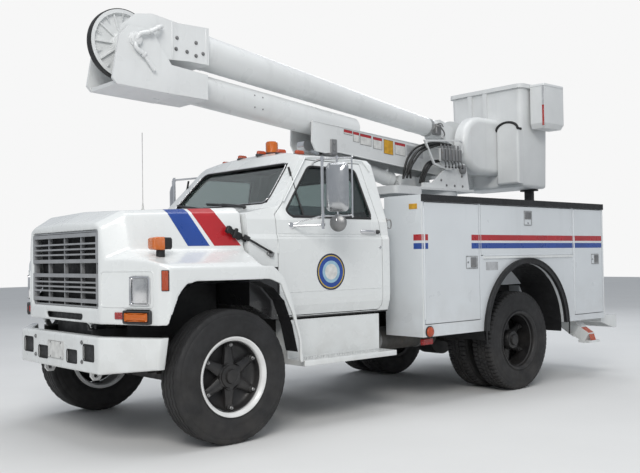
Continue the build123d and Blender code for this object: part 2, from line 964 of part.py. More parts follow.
step_top = 566
step_front = -700
step_rear = -1785
step_out = 1168
riser_top = 884
step_shell = [
    (cab_half - 190, step_top - 46),
    (step_out, step_top - 46),
    (step_out, step_top),
    (cab_half - 40, step_top),
    (cab_half - 40, riser_top),
    (cab_half - 190, riser_top),
]
with BuildPart() as cab_steps:
    with BuildSketch(Plane.YZ.offset(at(step_rear))):
        with BuildLine():
            Polyline(*step_shell, close=True)
        make_face()
    extrude(amount=step_front - step_rear)
    with BuildSketch(Plane.YZ.offset(at(step_rear - 1))):
        with Locations((cab_half - 115, (step_top + riser_top) / 2 - 6)):
            Rectangle(110, riser_top - step_top - 30)
    extrude(amount=step_front - step_rear - 40, mode=Mode.SUBTRACT)
    hanger_z = (rail_bottom + 60, rail_bottom + 130)
    for station in (step_front - 120, step_rear + 120):
        add(block((station - 30, station + 30), (rail_y + seat_gap, cab_half - 188), hanger_z))
    mirror(about=Plane.XZ)
step_tank_zone = block(
    (tank_x - 12, tank_x + tank_length + 12),
    (tank_y - tank_radius - 12, -rail_y),
    (380, 880),
)
keep(cut(cab_steps.part, step_tank_zone), "cab_steps")

# Roof lamps: five clearance lamps along the roof's front, and a beacon

lamp_stations = ((0, 0), (300, 0), (560, 0), (-300, 0), (-560, 0))
lamp_x = -1190
with BuildPart() as roof_lamps:
    for y, lift in lamp_stations:
        foot = roof_crown_z - (roof_crown_z - roof_side_z) * (y / roof_side_half) ** 2 - 24
        with BuildSketch(Plane.XY.offset(foot)):
            with Locations((at(lamp_x), y)):
                SlotOverall(104, 44)
        extrude(amount=58)
    with BuildSketch(Plane.XY.offset(roof_crown_z - 24)):
        with Locations((at(lamp_x - 130), 0)):
            Circle(62)
    extrude(amount=148)
keep(cut(roof_lamps.part, cab_volume(0)), "roof_lamps")

# Hood: one moulding of nose and fenders, lofted through three stations and open below

def hood_station(x, inset, crown, crease, junction, outer):
    """One cross-section of the hood at a station, drawn in by an inset."""
    with BuildSketch(Plane.YZ.offset(at(x))) as section:
        with BuildLine():
            half = Polyline(
                (0, crown - inset),
                (crease[0] - 70 - inset * 0.5, crown - 18 - inset),
                (crease[0] - inset, crease[1] - inset),
                (junction[0] - inset, junction[1] - inset * 0.7),
                (outer[0] - 50 - inset, outer[1] + 18 - inset),
                (outer[0] - inset, outer[1] - 12 - inset),
                (outer[0] - inset, 500),
                (0, 500),
            )
            mirror(half, about=Plane.YZ)
        make_face()
    return section.sketch


hood_stations = (
    # x, crown height, crease (y, z), junction (y, z), outer edge (y, z)
    (nose_x + 20, 1690, (606, 1640), (650, 1392), (fender_half, 1318)),
    (640, 1800, (690, 1752), (752, 1478), (fender_half, fender_crease_z)),
    (cowl_front + panel_gap + 6, 1836, (900, 1772), (952, 1478), (fender_half, fender_crease_z)),
)


def hood_volume(inset):
    """The hood's outer form, drawn in by an inset, trimmed to its plan and rounded nose."""
    sections = [hood_station(x, inset, crown, crease, junction, outer)
                for x, crown, crease, junction, outer in hood_stations]
    with BuildPart() as made:
        add(loft(sections, ruled=True))
        with BuildSketch(Plane.XY.offset(480)):
            with BuildLine():
                rear = at(hood_stations[-1][0]) - 1
                Polyline(
                    (rear, 0),
                    (rear, fender_half + 1),
                    (at(fender_front_x - 60 - inset), fender_half + 1),
                    (at(fender_front_x - 30 - inset), fender_half - 4),
                    (at(fender_front_x + 26 - inset), fender_half - 66),
                    (at(nose_x - inset), grille_half + 44),
                    (at(nose_x - inset), 0),
                )
                mirror(about=Plane.XZ)
            make_face()
        extrude(amount=1500, mode=Mode.INTERSECT)
    return made.part


arch_outline = [
    (600, 480),
    (584, 906),
    (556, 985),
    (490, 1146),
    (424, 1220),
    (325, 1243),
    (-351, 1236),
    (-448, 1199),
    (-562, 966),
    (-637, 731),
    (-646, 480),
]
tail_outline = [
    (-240, 1244),
    (-240, 1380),
    (-372, 1352),
    (-478, 1262),
    (-560, 1100),
    (-606, 950),
    (-668, 731),
    (-676, 552),
    (-640, 552),
    (-637, 731),
    (-562, 966),
    (-448, 1199),
    (-351, 1236),
]
hood_outer = hood_volume(0)
fender_tail = common(
    plate(tail_outline, 900, fender_half),
    plate([(-200, 500), (-700, 500), (-700, 1345), (-200, 1345)], fender_half - hood_wall, fender_half),
)
grille_hole = block((nose_x - 60, nose_x + 30), (-grille_half, grille_half), (grille_bottom, grille_top))
below = block((-800, nose_x + 40), (-1300, 1300), (400, fender_bottom))
with BuildPart() as lower_slot:
    with BuildSketch(Plane.YZ.offset(at(nose_x - 60))):
        with BuildLine():
            Polyline((345, 992), (300, 952), (-300, 952), (-345, 992), close=True)
        make_face()
    extrude(amount=100)
ear_foot = hood_hinge_z - 19
hood_ear = cut(
    plate(
        [
            (nose_x - hood_wall + 1, fender_bottom + 90),
            (nose_x - hood_wall - 30, fender_bottom + 90),
            (hood_hinge_x - 22, hood_hinge_z),
            (hood_hinge_x - 12, ear_foot),
            (hood_hinge_x + 12, ear_foot),
            (hood_hinge_x + 22, hood_hinge_z),
            (nose_x - hood_wall + 1, fender_bottom + 10),
        ],
        *hinge_ear,
    ),
    bar_across(hood_hinge_x, hood_hinge_z, hood_pin_radius + pin_fit, hinge_ear[0] - 5, hinge_ear[1] + 5),
)
hood = fused(
    cut(
        hood_outer,
        hood_volume(hood_wall),
        below,
        plate(arch_outline, 600, fender_half + 30),
        plate(arch_outline, -fender_half - 30, -600),
        grille_hole,
        lower_slot.part,
    ),
    fender_tail,
    mirrored(fender_tail),
    hood_ear,
    mirrored(hood_ear),
)

# Grille: two framed groups of slats, one above the other, on posts that stand behind them

grille_groups = (
    # low edge, high edge, slat heights
    (1387, 1618, (1454, 1495, 1536)),
    (1082, 1305, (1164, 1201, 1238)),
)
grille_posts = (-550, -290, 0, 290, 550)
grille_z = (grille_bottom + grille_top) / 2
grille_height = grille_top - grille_bottom
grille_back = nose_x - grille_depth
with BuildPart() as grille:
    with BuildSketch(Plane.YZ.offset(at(grille_back))):
        with Locations((0, grille_z)):
            Rectangle(2 * (grille_half - seat_gap), grille_height - 2 * seat_gap)
            Rectangle(
                2 * (grille_half - grille_border / 2),
                grille_height - grille_border,
                mode=Mode.SUBTRACT,
            )
        for y in grille_posts:
            with Locations((y, grille_z)):
                Rectangle(grille_post, grille_height - grille_border / 2)
    extrude(amount=grille_depth - grille_recess)
    with BuildSketch(Plane.YZ.offset(at(grille_back + grille_recess))):
        for low, high, slats in grille_groups:
            with Locations((0, (low + high) / 2)):
                Rectangle(2 * (grille_half - seat_gap), high - low)
                Rectangle(2 * (grille_half - grille_rail), high - low - 2 * grille_rail, mode=Mode.SUBTRACT)
            for z in slats:
                with Locations((0, z)):
                    Rectangle(2 * (grille_half - grille_rail / 2), grille_bar)
    extrude(amount=grille_depth - grille_recess - 4)
keep(grille.part, "grille")

# Front lamps: a headlamp and a turn lamp in each swept corner panel, and a side marker

corner_run = (at(nose_x), grille_half + 44)
corner_end = (at(fender_front_x + 26), fender_half - 66)
corner_vector = Vector(corner_end[0] - corner_run[0], corner_end[1] - corner_run[1], 0).normalized()
corner_normal = Vector(corner_vector.Y, -corner_vector.X, 0)


def corner_lamp(along, z, width, height, proud, sunk):
    """A lamp block on the swept corner panel, measured along the panel from the grille side."""
    origin = Vector(corner_run[0], corner_run[1], z) + corner_vector * along - corner_normal * sunk
    with BuildPart() as made:
        with BuildSketch(Plane(origin=origin, x_dir=corner_vector, z_dir=corner_normal)):
            RectangleRounded(width, height, 14)
        extrude(amount=proud + sunk)
    return made.part


headlamp_place = (372, 1180)
headlamp_size = (172, 200)
turn_place = (350, 990)
turn_size = (244, 96)
lamp_border = 14
lamp_zones = fused(
    corner_lamp(*headlamp_place, *headlamp_size, 14, 60),
    corner_lamp(*turn_place, *turn_size, 10, 50),
)
hood = cut(hood, lamp_zones, mirrored(lamp_zones))
keep(hood, "hood")


def corner_bowl(along, z, width, height, proud, sunk, floor_radius):
    """A bowl that narrows from a lamp's mouth to a round floor."""
    mouth = Vector(corner_run[0], corner_run[1], z) + corner_vector * along + corner_normal * proud
    with BuildPart() as made:
        with BuildSketch(Plane(origin=mouth, x_dir=corner_vector, z_dir=corner_normal)):
            RectangleRounded(width, height, 12)
        with BuildSketch(Plane(
            origin=mouth - corner_normal * sunk,
            x_dir=corner_vector,
            z_dir=corner_normal,
        )):
            RectangleRounded(2 * floor_radius, 2 * floor_radius, floor_radius - 1)
        loft(ruled=True)
    return made.part


def lamp_body(place, size, proud, sunk):
    """A lamp's housing, a seat gap smaller than its hole."""
    return corner_lamp(*place, size[0] - 2 * seat_gap, size[1] - 2 * seat_gap, proud, sunk)


headlamp = cut(
    lamp_body(headlamp_place, headlamp_size, 10, 50),
    corner_bowl(
        *headlamp_place,
        headlamp_size[0] - 2 * lamp_border,
        headlamp_size[1] - 2 * lamp_border,
        10,
        38,
        42,
    ),
)
bulb = corner_lamp(*headlamp_place, 34, 34, -8, 34)
turn_lamp = fused(
    lamp_body(turn_place, turn_size, 4, 40),
    corner_lamp(*turn_place, turn_size[0] - 2 * lamp_border, turn_size[1] - 2 * lamp_border, 10, 10),
)
with BuildPart() as front_lamps:
    add(fused(headlamp, bulb))
    add(turn_lamp)
    mirror(about=Plane.XZ)
keep(front_lamps.part, "front_lamps")

# Mirrors: a tube bracket on each door with a tall head and a round one below it

mirror_y = 1262
mirror_x = -1010
mirror_turn = 28
mirror_size = (196, 410)
mirror_z = 1985
head_plane = Plane(
    origin=(at(mirror_x), mirror_y, mirror_z),
    x_dir=(-sin(radians(mirror_turn)), cos(radians(mirror_turn)), 0),
    z_dir=(cos(radians(mirror_turn)), sin(radians(mirror_turn)), 0),
)
mirror_shell = 18
mirror_depth = 50
mirror_draft = 34
round_mirror_radius = 72
with BuildPart() as mirror_head:
    with BuildSketch(head_plane):
        RectangleRounded(*mirror_size, 24)
    extrude(amount=mirror_shell + 1)
with BuildPart() as mirror_back:
    with BuildSketch(head_plane.offset(mirror_shell)):
        Rectangle(mirror_size[0] - 8, mirror_size[1] - 8)
    with BuildSketch(head_plane.offset(mirror_depth)):
        Rectangle(mirror_size[0] - 2 * mirror_draft, mirror_size[1] - 2 * mirror_draft)
    loft(ruled=True)
with BuildPart() as round_mirror:
    for lift, radius in ((-4, round_mirror_radius), (30, round_mirror_radius - 14)):
        with BuildSketch(head_plane.offset(lift)):
            with Locations((0, -mirror_size[1] / 2 - round_mirror_radius - 20)):
                Circle(radius)
    loft(ruled=True)
arm_radius = 10
post_radius = 13
post = (mirror_x + 30, mirror_y + 13)
bracket = fused(
    rod_between((-742, cab_half - 60, 1672), (*post, 1674), arm_radius),
    rod_between((-1180, roof_side_half - 10, 2236), (*post, 2226), arm_radius),
    rod_between((*post, 1652), (*post, 2248), post_radius),
)
left_mirror = fused(mirror_head.part, mirror_back.part, round_mirror.part, cut(bracket, cab_volume(0)))
keep(left_mirror, "left_mirror")
keep(mirrored(left_mirror), "right_mirror")

# Service body: a bank of bins on each side of an open bed

arch_z = arch_top - arch_radius
bed_thickness = 28
bed_floor_top = 1100
front_bin = (-wheelbase + 693, body_front - body_wall - 1)
middle_bin = (-wheelbase - 985, -wheelbase + 670)
rear_bin = (-wheelbase - 1597, -wheelbase - 1003)
door_low = {"front": 772, "middle": 1402, "rear": 724}
door_high = body_top - trim_height - 8
door_span = {"front": front_bin, "middle": middle_bin, "rear": rear_bin}


def arch_prism(radius, y_low, y_high):
    """The round wheel arch, carried straight down at its foot."""
    with BuildPart() as made:
        with BuildSketch(Plane.XZ.offset(-y_high)):
            with Locations((at(arch_x), arch_z)):
                Circle(radius)
            with Locations((at(arch_x), arch_z - 150)):
                Rectangle(2 * radius, 300)
        extrude(amount=y_high - y_low)
    return made.part


bank = block((body_rear, body_front), (bin_inner, body_half), (body_bottom, body_top))
bins = [
    block(
        door_span[name],
        (bin_inner + body_wall, body_half - body_wall),
        (door_low[name] - 40, body_top - body_wall),
    )
    for name in door_span
]
mouths = [
    block(
        door_span[name],
        (body_half - body_wall - 1, body_half + 1),
        (door_low[name] - panel_gap, door_high + panel_gap),
    )
    for name in door_span
]
outrigger_x = -(wheelbase + 1245)
outrigger_angle = 32
outrigger_pivot = (outrigger_x, 1010, 578)
outrigger_box = 150
outrigger_wall = 10
outrigger_leg = outrigger_box - 2 * outrigger_wall - 2 * seat_gap


def outrigger_beam(size, start, end):
    """A square beam along the left outrigger's slope, measured outwards from its middle."""
    run = Vector(0, cos(radians(outrigger_angle)), -sin(radians(outrigger_angle)))
    centre = Vector(at(outrigger_pivot[0]), outrigger_pivot[1], outrigger_pivot[2])
    with BuildPart() as made:
        with BuildSketch(Plane(origin=centre + run * start, x_dir=(1, 0, 0), z_dir=run)):
            Rectangle(size, size)
        extrude(amount=end - start)
    return made.part


housing_in = -620
housing_out = 110
leg_out = 250
outrigger_chase = outrigger_beam(outrigger_box + 6, housing_in - 20, housing_out + 400)
wheelhouse = arch_prism(arch_radius, bin_inner + body_wall, body_half + 20)
under_floor = common(
    arch_prism(arch_radius, bin_inner - 20, bin_inner + body_wall + 1),
    block((body_rear, body_front), (0, body_half), (0, bed_floor_top - bed_thickness)),
)
left_bank = cut(bank, *bins, *mouths, wheelhouse, under_floor, outrigger_chase)
sill_stations = (body_front - 190, -wheelbase + 705, -wheelbase - 675, -wheelbase - 1465)
with BuildPart() as service_body:
    add(left_bank)
    mirror(about=Plane.XZ)
    floor_z = (bed_floor_top - bed_thickness, bed_floor_top)
    add(block((body_rear, body_front), (-bin_inner, bin_inner), floor_z))
    add(block(
        (body_front - body_wall, body_front),
        (-bin_inner, bin_inner),
        (bed_floor_top, bed_floor_top + 330),
    ))
    for station in sill_stations:
        sill_z = (rail_bottom + rail_height + seat_gap, bed_floor_top - bed_thickness)
        add(block((station - 50, station + 50), (-bin_inner, bin_inner), sill_z))
pedestal_hole = block(
    (turret_x - pedestal_half - 6, turret_x + pedestal_half + 6),
    (-pedestal_half - 6, pedestal_half + 6),
    (bed_floor_top - bed_thickness - 20, bed_floor_top + 20),
)


def bin_hinge(name, grow):
    """A bin door's hinge barrel along its front or, on the middle one, its lower edge."""
    rear, front = door_span[name]
    low = door_low[name]
    if name == "middle":
        foot = (rear + hinge_inset - grow, body_half, low - panel_gap / 2)
        head = (front - hinge_inset + grow, body_half, low - panel_gap / 2)
    else:
        foot = (front - panel_gap / 2, body_half, low + hinge_inset - grow)
        head = (front - panel_gap / 2, body_half, door_high - hinge_inset + grow)
    return rod_between(foot, head, hinge_radius + grow)


left_bin_hinges = [bin_hinge(name, 0) for name in door_span]
service_body = cut(service_body.part, pedestal_hole, outrigger_chase, mirrored(outrigger_chase))
service_body = fused(service_body, *left_bin_hinges, *[mirrored(barrel) for barrel in left_bin_hinges])
keep(service_body, "service_body")

for name in door_span:
    rear, front = door_span[name]
    panel = block(
        (rear + panel_gap, front - panel_gap),
        (body_half - door_thickness, body_half),
        (door_low[name], door_high),
    )
    panel = cut(panel, bin_hinge(name, seat_gap))
    keep(panel, f"left_{name}_bin_door")
    keep(mirrored(panel), f"right_{name}_bin_door")

# Black trim: a strip along the top edge and a flare round each rear arch

flare = cut(
    arch_prism(arch_radius + 46, body_half + seat_gap, body_half + 36),
    arch_prism(arch_radius - 4, body_half - 5, body_half + 60),
    block((body_rear, body_front), (body_half - 100, body_half + 100), (-500, body_bottom)),
)
with BuildPart() as body_trim:
    add(
        block(
            (body_rear, body_front),
            (body_half + seat_gap, body_half + trim_proud),
            (body_top - trim_height, body_top),
        )
    )
    add(flare)
    mirror(about=Plane.XZ)
keep(body_trim.part, "body_trim")

tail = -(wheelbase + tail_reach)
tail_step = cut(
    plate([(body_rear - seat_gap, 680), (tail, 668), (tail, 517), (tail + 60, 517), (body_rear - seat_gap, 604)],
          -1150, 1150),
    plate([(body_rear - 20, 660), (tail + 14, 652), (tail + 14, 400), (body_rear - 20, 400)], -1136, 1136),
)
keep(tail_step, "rear_step")

# Pedestal from the frame up through the bed, with the slewing ring on top

ring_top = pedestal_top + bearing_height
with BuildPart() as pedestal:
    with BuildSketch(Plane.XY.offset(rail_bottom + rail_height + seat_gap)):
        with Locations((at(turret_x), 0)):
            Rectangle(2 * pedestal_half + 160, 2 * rail_y)
    extrude(amount=32)
    with BuildSketch(Plane.XY.offset(rail_bottom + rail_height + 30)):
        with Locations((at(turret_x), 0)):
            Rectangle(2 * pedestal_half, 2 * pedestal_half)
    extrude(amount=pedestal_top - rail_bottom - rail_height - 30)
    with BuildSketch(Plane.XY.offset(pedestal_top)):
        with Locations((at(turret_x), 0)):
            Circle(bearing_radius)
    extrude(amount=bearing_height)
    with BuildSketch(Plane.XY.offset(rail_bottom + rail_height)):
        with Locations((at(turret_x), 0)):
            Rectangle(2 * pedestal_half - 2 * pedestal_wall, 2 * pedestal_half - 2 * pedestal_wall)
    extrude(amount=pedestal_top - rail_bottom - rail_height - pedestal_wall, mode=Mode.SUBTRACT)
keep(pedestal.part, "pedestal")

# Turret: a turntable with two triangular side plates, the boom pin and the cylinder's foot lugs

base_low = ring_top + seat_gap
base_high = base_low + 28
turret_front = -3160
turret_rear = -4064
turret_outline = [
    (turret_front, base_high - 1),
    (turret_front - 10, base_high + 50),
    (-3330, 2206),
    (-3520, 2350),
    (lower_pivot_x + 60, lower_pivot_z + 78),
    (lower_pivot_x - 50, lower_pivot_z + 72),
    (lower_pivot_x - 88, lower_pivot_z + 20),
    (-3960, base_high - 1),
]
foot_outline = [
    (turret_front - 140, base_high - 1),
    (turret_front - 100, cylinder_foot_z + 60),
    (cylinder_foot_x + 30, cylinder_foot_z + 62),
    (cylinder_foot_x + 62, cylinder_foot_z),
    (cylinder_foot_x + 30, cylinder_foot_z - 62),
    (turret_front - 1, base_low + 2),
]
foot_eye_half = 56
foot_lug = 28
tray_front = -2690
tray_depth = 85
tray_wall = 8
guard_proud = 20
guard_tube = 20
guard_outline = [
    (-3180, 2664),
    (-3806, 2713),
    (-3842, 2690),
    (-3842, 2579),
    (-3640, 2352),
    (-3560, 2352),
    (-3336, 2404),
]
valve_block = ((-3765, -3440), (2450, 2590))
valve_bracket = [(-3560, 2340), (-3740, 2430), (-3740, 2600), (-3460, 2600), (-3460, 2430)]
with BuildPart() as turret:
    with BuildSketch(Plane.XY.offset(base_low)):
        with Locations((at((turret_front + turret_rear) / 2), 0)):
            RectangleRounded(turret_front - turret_rear, 2 * turret_plate_y + 80, 90)
    extrude(amount=base_high - base_low)
    tray_run = tray_front - turret_front
    with BuildSketch(Plane.XY.offset(base_low)):
        with Locations((at(tray_front - tray_run / 2 - 60), 0)):
            RectangleRounded(tray_run + 120, 2 * turret_plate_y + 80, 50)
    extrude(amount=base_high - base_low)
    with BuildSketch(Plane.XY.offset(base_high - tray_depth)):
        with Locations((at(tray_front - tray_run / 2 + 15), 0)):
            RectangleRounded(tray_run - 30, 2 * turret_plate_y + 80, 50)
            RectangleRounded(
                tray_run - 30 - 2 * tray_wall,
                2 * turret_plate_y + 80 - 2 * tray_wall,
                42,
                mode=Mode.SUBTRACT,
            )
    extrude(amount=tray_depth - 1)
    for side in (1, -1):
        low = min(side * turret_plate_y, side * (turret_plate_y - turret_plate))
        add(plate(turret_outline, low, low + turret_plate))
        lug_low = min(side * (foot_eye_half + running_gap), side * (foot_eye_half + running_gap + foot_lug))
        add(plate(foot_outline, lug_low, lug_low + foot_lug))
    add(bar_across(lower_pivot_x, lower_pivot_z, pin_radius, -turret_plate_y - 22, turret_plate_y + 22))
    add(bar_across(cylinder_foot_x, cylinder_foot_z, 28, -foot_eye_half - 40, foot_eye_half + 40))
guard_low = turret_plate_y - 1
guard = cut(
    plate(guard_outline, guard_low, turret_plate_y + guard_proud),
    grown(guard_outline, -guard_tube, guard_low - 10, turret_plate_y + guard_proud + 10),
)
valve = block(valve_block[0], (turret_plate_y - 1, turret_plate_y + 2 * guard_proud), valve_block[1])
turret = fused(turret.part, guard, plate(valve_bracket, turret_plate_y - 8, turret_plate_y + 1), valve)
keep(turret, "turret")

# Lift cylinder: the barrel swings on the turret and the rod slides in it

cylinder_run = Vector(cylinder_eye_x - cylinder_foot_x, 0, cylinder_eye_z - cylinder_foot_z)
cylinder_length = cylinder_run.length
cylinder_way = cylinder_run.normalized()
cylinder_foot = Vector(at(cylinder_foot_x), 0, cylinder_foot_z)


def along_cylinder(radius, start, end):
    """A round length on the cylinder's axis, measured from its foot pin."""
    with BuildPart() as made:
        with BuildSketch(Plane(origin=cylinder_foot + cylinder_way * start, z_dir=cylinder_way)):
            Circle(radius)
        extrude(amount=end - start)
    return made.part


eye_half = 52
barrel = cut(
    fused(
        along_cylinder(barrel_radius, barrel_start, barrel_length),
        along_cylinder(barrel_radius + 12, barrel_length - 60, barrel_length),
        bar_across(cylinder_foot_x, cylinder_foot_z, 62, -foot_eye_half, foot_eye_half),
        along_cylinder(46, 10, barrel_start + 10),
    ),
    along_cylinder(rod_radius + pin_fit, rod_tail - 8, barrel_length + 5),
    bar_across(cylinder_foot_x, cylinder_foot_z, 28 + pin_fit, -80, 80),
)
keep(barrel, "lift_cylinder_barrel")
rod = fused(
    along_cylinder(rod_radius, rod_tail, cylinder_length - 20),
    bar_across(cylinder_eye_x, cylinder_eye_z, 58, -eye_half, eye_half),
)
keep(rod, "lift_cylinder_rod")

# Lower boom: an open-bottomed steel base, a round tube, and elbow plates round the sheave

def on_lower(x):
    """Height of the lower tube's axis at a station."""
    return elbow_z + lower_drop + (x - elbow_x) * lower_slope


base_outline = [
    (-1700, 2752),
    (-3790, 2594),
    (-3880, 2520),
    (-3925, 2400),
    (-3890, 2310),
    (-3780, 2290),
    (-3583, 2309),
    (-2060, 2457),
    (-1960, 2452),
    (-1860, 2440),
    (-1740, 2452),
    (-1690, 2540),
]
base_inner = [
    (-1600, 2745),
    (-1600, 2300),
    (-3480, 2200),
    (-3600, 2330),
    (-3730, 2440),
    (-3730, 2576),
]
elbow_plates = [
    (-430, 2800),
    (-430, 3020),
    (-60, 3058),
    (110, 3300),
    (210, elbow_z + 110),
    (340, elbow_z + 110),
    (430, elbow_z + 20),
    (495, 2880),
    (455, 2836),
    (300, 2828),
    (-60, 2812),
]
lower_plate_y = boom_half + elbow_plate + 2 * elbow_gap
tube_start = -2380
tube_end = -70
with BuildPart() as lower_boom:
    add(plate(base_outline, -boom_half, boom_half))
    add(plate(base_inner, -boom_half + 20, boom_half - 20), mode=Mode.SUBTRACT)
    for side in (1, -1):
        low = min(side * (boom_half - 1), side * (turret_plate_y - turret_plate - running_gap))
        high = max(side * (boom_half - 1), side * (turret_plate_y - turret_plate - running_gap))
        add(bar_across(lower_pivot_x, lower_pivot_z, pin_radius + 34, low, high))
    add(rod_between(
        (tube_start, 0, on_lower(tube_start)),
        (tube_end, 0, on_lower(tube_end)),
        lower_tube_radius,
    ))
    add(plate([(-430, 2800), (-430, 3020), (-150, 3050), (-150, 2806)], -lower_plate_y, lower_plate_y))
    for side in (1, -1):
        low = min(side * lower_plate_y, side * (lower_plate_y + elbow_plate))
        add(plate(elbow_plates, low, low + elbow_plate))
    reach_y = lower_plate_y + elbow_plate
    add(plate(
        [(-160, 2806), (-160, 2840), (300, 2856), (460, 2866), (455, 2836), (300, 2828)],
        -reach_y,
        reach_y,
    ))
    add(bar_across(elbow_x, elbow_z, pin_radius, -reach_y - 20, reach_y + 20))
    add(bar_across(lower_pivot_x, lower_pivot_z, pin_radius + pin_fit, -400, 400), mode=Mode.SUBTRACT)
hollow = rod_between(
    (-2300, 0, on_lower(-2300)),
    (tube_end + 5, 0, on_lower(tube_end + 5)),
    lower_tube_radius - tube_wall,
)
keep(cut(lower_boom.part, hollow), "lower_boom")

# Elbow sheave: grooved rim, thin web, ribs and a long hub on the elbow pin

groove = 14
with BuildPart() as elbow_sheave:
    with BuildSketch(Plane.XY):
        with BuildLine():
            Polyline(
                (pin_radius + pin_fit, -(boom_half - elbow_gap)),
                (pin_radius + 26, -(boom_half - elbow_gap)),
                (pin_radius + 26, -sheave_half),
                (pin_radius + 52, -sheave_half),
                (pin_radius + 64, -7),
                (sheave_radius - 44, -7),
                (sheave_radius - 32, -sheave_half),
                (sheave_radius, -sheave_half),
                (sheave_radius, -groove),
                (sheave_radius - groove, 0),
                (sheave_radius, groove),
                (sheave_radius, sheave_half),
                (sheave_radius - 32, sheave_half),
                (sheave_radius - 44, 7),
                (pin_radius + 64, 7),
                (pin_radius + 52, sheave_half),
                (pin_radius + 26, sheave_half),
                (pin_radius + 26, boom_half - elbow_gap),
                (pin_radius + pin_fit, boom_half - elbow_gap),
                close=True,
            )
        make_face()
    revolve(axis=Axis.Y)
    with BuildSketch(Plane.XZ.offset(-sheave_half + 8)):
        with PolarLocations((pin_radius + 40 + sheave_radius - 38) / 2, 10):
            Rectangle(sheave_radius - 38 - pin_radius - 40, 12)
    extrude(amount=2 * (sheave_half - 8))
keep(Pos(at(elbow_x), 0, elbow_z) * elbow_sheave.part, "elbow_sheave")

# Upper boom: elbow plates and collar, a long insulated tube, and the tip


def on_upper(x):
    """Height of the upper tube's axis at a station."""
    return elbow_z + upper_rise + (x - elbow_x) * upper_slope


upper_plates = [
    (-360, 3130),
    (-360, 3412),
    (100, 3478),
    (255, 3452),
    (elbow_x + 110, elbow_z + 110),
    (elbow_x + 132, elbow_z),
    (elbow_x + 80, elbow_z - 104),
    (elbow_x - 60, elbow_z - 116),
    (-60, 3112),
]
tip_outline = [
    (-3680, on_upper(-3680) + 96),
    (-3680, on_upper(-3680) - 96),
    (tip_x + 20, tip_z - tip_radius),
    (tip_x - 60, tip_z - 90),
    (tip_x - tip_radius, tip_z),
    (tip_x - 60, tip_z + 90),
    (tip_x + 20, tip_z + tip_radius),
]
collar_front = -90
tip_half = cover_inner - running_gap - 30
with BuildPart() as upper_tube:
    with BuildSketch(Plane(origin=(at(-420), 0, on_upper(-420)), z_dir=(-1, 0, -upper_slope))):
        Circle(upper_tube_radius)
    with BuildSketch(Plane(origin=(at(-3760), 0, on_upper(-3760)), z_dir=(-1, 0, -upper_slope))):
        Circle(100)
    loft(ruled=True)
with BuildPart() as upper_hollow:
    with BuildSketch(Plane(origin=(at(-380), 0, on_upper(-380)), z_dir=(-1, 0, -upper_slope))):
        Circle(upper_tube_radius - tube_wall)
    with BuildSketch(Plane(origin=(at(-3600), 0, on_upper(-3600)), z_dir=(-1, 0, -upper_slope))):
        Circle(100 - tube_wall)
    loft(ruled=True)
with BuildPart() as upper_boom:
    add(upper_tube.part)
    for side in (1, -1):
        low = min(side * boom_half, side * (boom_half + elbow_plate))
        add(plate(upper_plates, low, low + elbow_plate))
    inner_end = boom_half + elbow_plate
    add(plate(
        [(-470, 3118), (-470, 3448), (collar_front, 3440), (collar_front, 3128)],
        -inner_end,
        inner_end,
    ))
    add(plate([(-460, 3140), (-460, 3420), (collar_front + 1, 3412), (collar_front + 1, 3156)], -150, 150),
        mode=Mode.SUBTRACT)
    add(plate(tip_outline, -tip_half, tip_half))
    add(bar_across(elbow_x, elbow_z, pin_radius + pin_fit, -300, 300), mode=Mode.SUBTRACT)
    add(bar_across(tip_x, tip_z, 30 + pin_fit, -200, 200), mode=Mode.SUBTRACT)
upper_boom = fused(cut(upper_boom.part, upper_hollow.part))
keep(upper_boom, "upper_boom")

# Bucket: a tapered hollow tub with a lip, front pillars, and the levelling cover at the boom's tip

bucket_middle = (bucket_left + bucket_right) / 2
bucket_width = bucket_left - bucket_right


def bucket_form(inset, z_low, z_high, foot_round=0):
    """The bucket's tapered outline between two heights, drawn in by an inset, its foot edge rounded."""
    with BuildPart() as made:
        for z, narrow in ((z_low, bucket_taper), (z_high, 0)):
            with BuildSketch(Plane.XY.offset(z)):
                with Locations((at(bucket_front - bucket_depth / 2), bucket_middle)):
                    RectangleRounded(
                        bucket_depth - 2 * inset - narrow, bucket_width - 2 * inset - 2 * narrow, 60 - inset
                    )
        loft(ruled=True)
        if foot_round:
            fillet(made.faces().sort_by(Axis.Z)[0].edges(), foot_round)
    return made.part


bucket_shell = cut(
    bucket_form(0, bucket_bottom, bucket_top, bucket_round),
    bucket_form(bucket_wall, bucket_bottom + bucket_wall, bucket_top + 1),
)
with BuildPart() as lip:
    with BuildSketch(Plane.XY.offset(bucket_top - 48)):
        with Locations((at(bucket_front - bucket_depth / 2), bucket_middle)):
            RectangleRounded(bucket_depth + 2 * bucket_lip, bucket_width + 2 * bucket_lip, 78)
            RectangleRounded(bucket_depth - 10, bucket_width - 10, 52, mode=Mode.SUBTRACT)
    extrude(amount=48)
cheeks = []
for side in (1, -1):
    low = min(side * cover_inner, side * cover_outer)
    with BuildPart() as cheek:
        with BuildSketch(Plane.XZ.offset(-(low + cover_outer - cover_inner))):
            with BuildLine():
                top = Line((at(bucket_front - 10), tip_z + cover_radius), (at(tip_x), tip_z + cover_radius))
                ThreePointArc(top @ 1, (at(tip_x + cover_radius), tip_z), (at(tip_x), tip_z - cover_radius))
                low_line = Line(
                    (at(tip_x), tip_z - cover_radius),
                    (at(bucket_front - 10), tip_z - cover_radius),
                )
                Line(low_line @ 1, top @ 0)
            make_face()
        extrude(amount=cover_outer - cover_inner)
        outer_face = cheek.faces().sort_by(Axis.Y)[-1 if side > 0 else 0]
        rim_edges = [edge for edge in outer_face.edges() if edge.center().X > at(bucket_front - 9)]
        fillet(rim_edges, cover_round)
    cheeks.append(cheek.part)
tip_pin = bar_across(tip_x, tip_z, 30, -cover_inner - 10, cover_inner + 10)

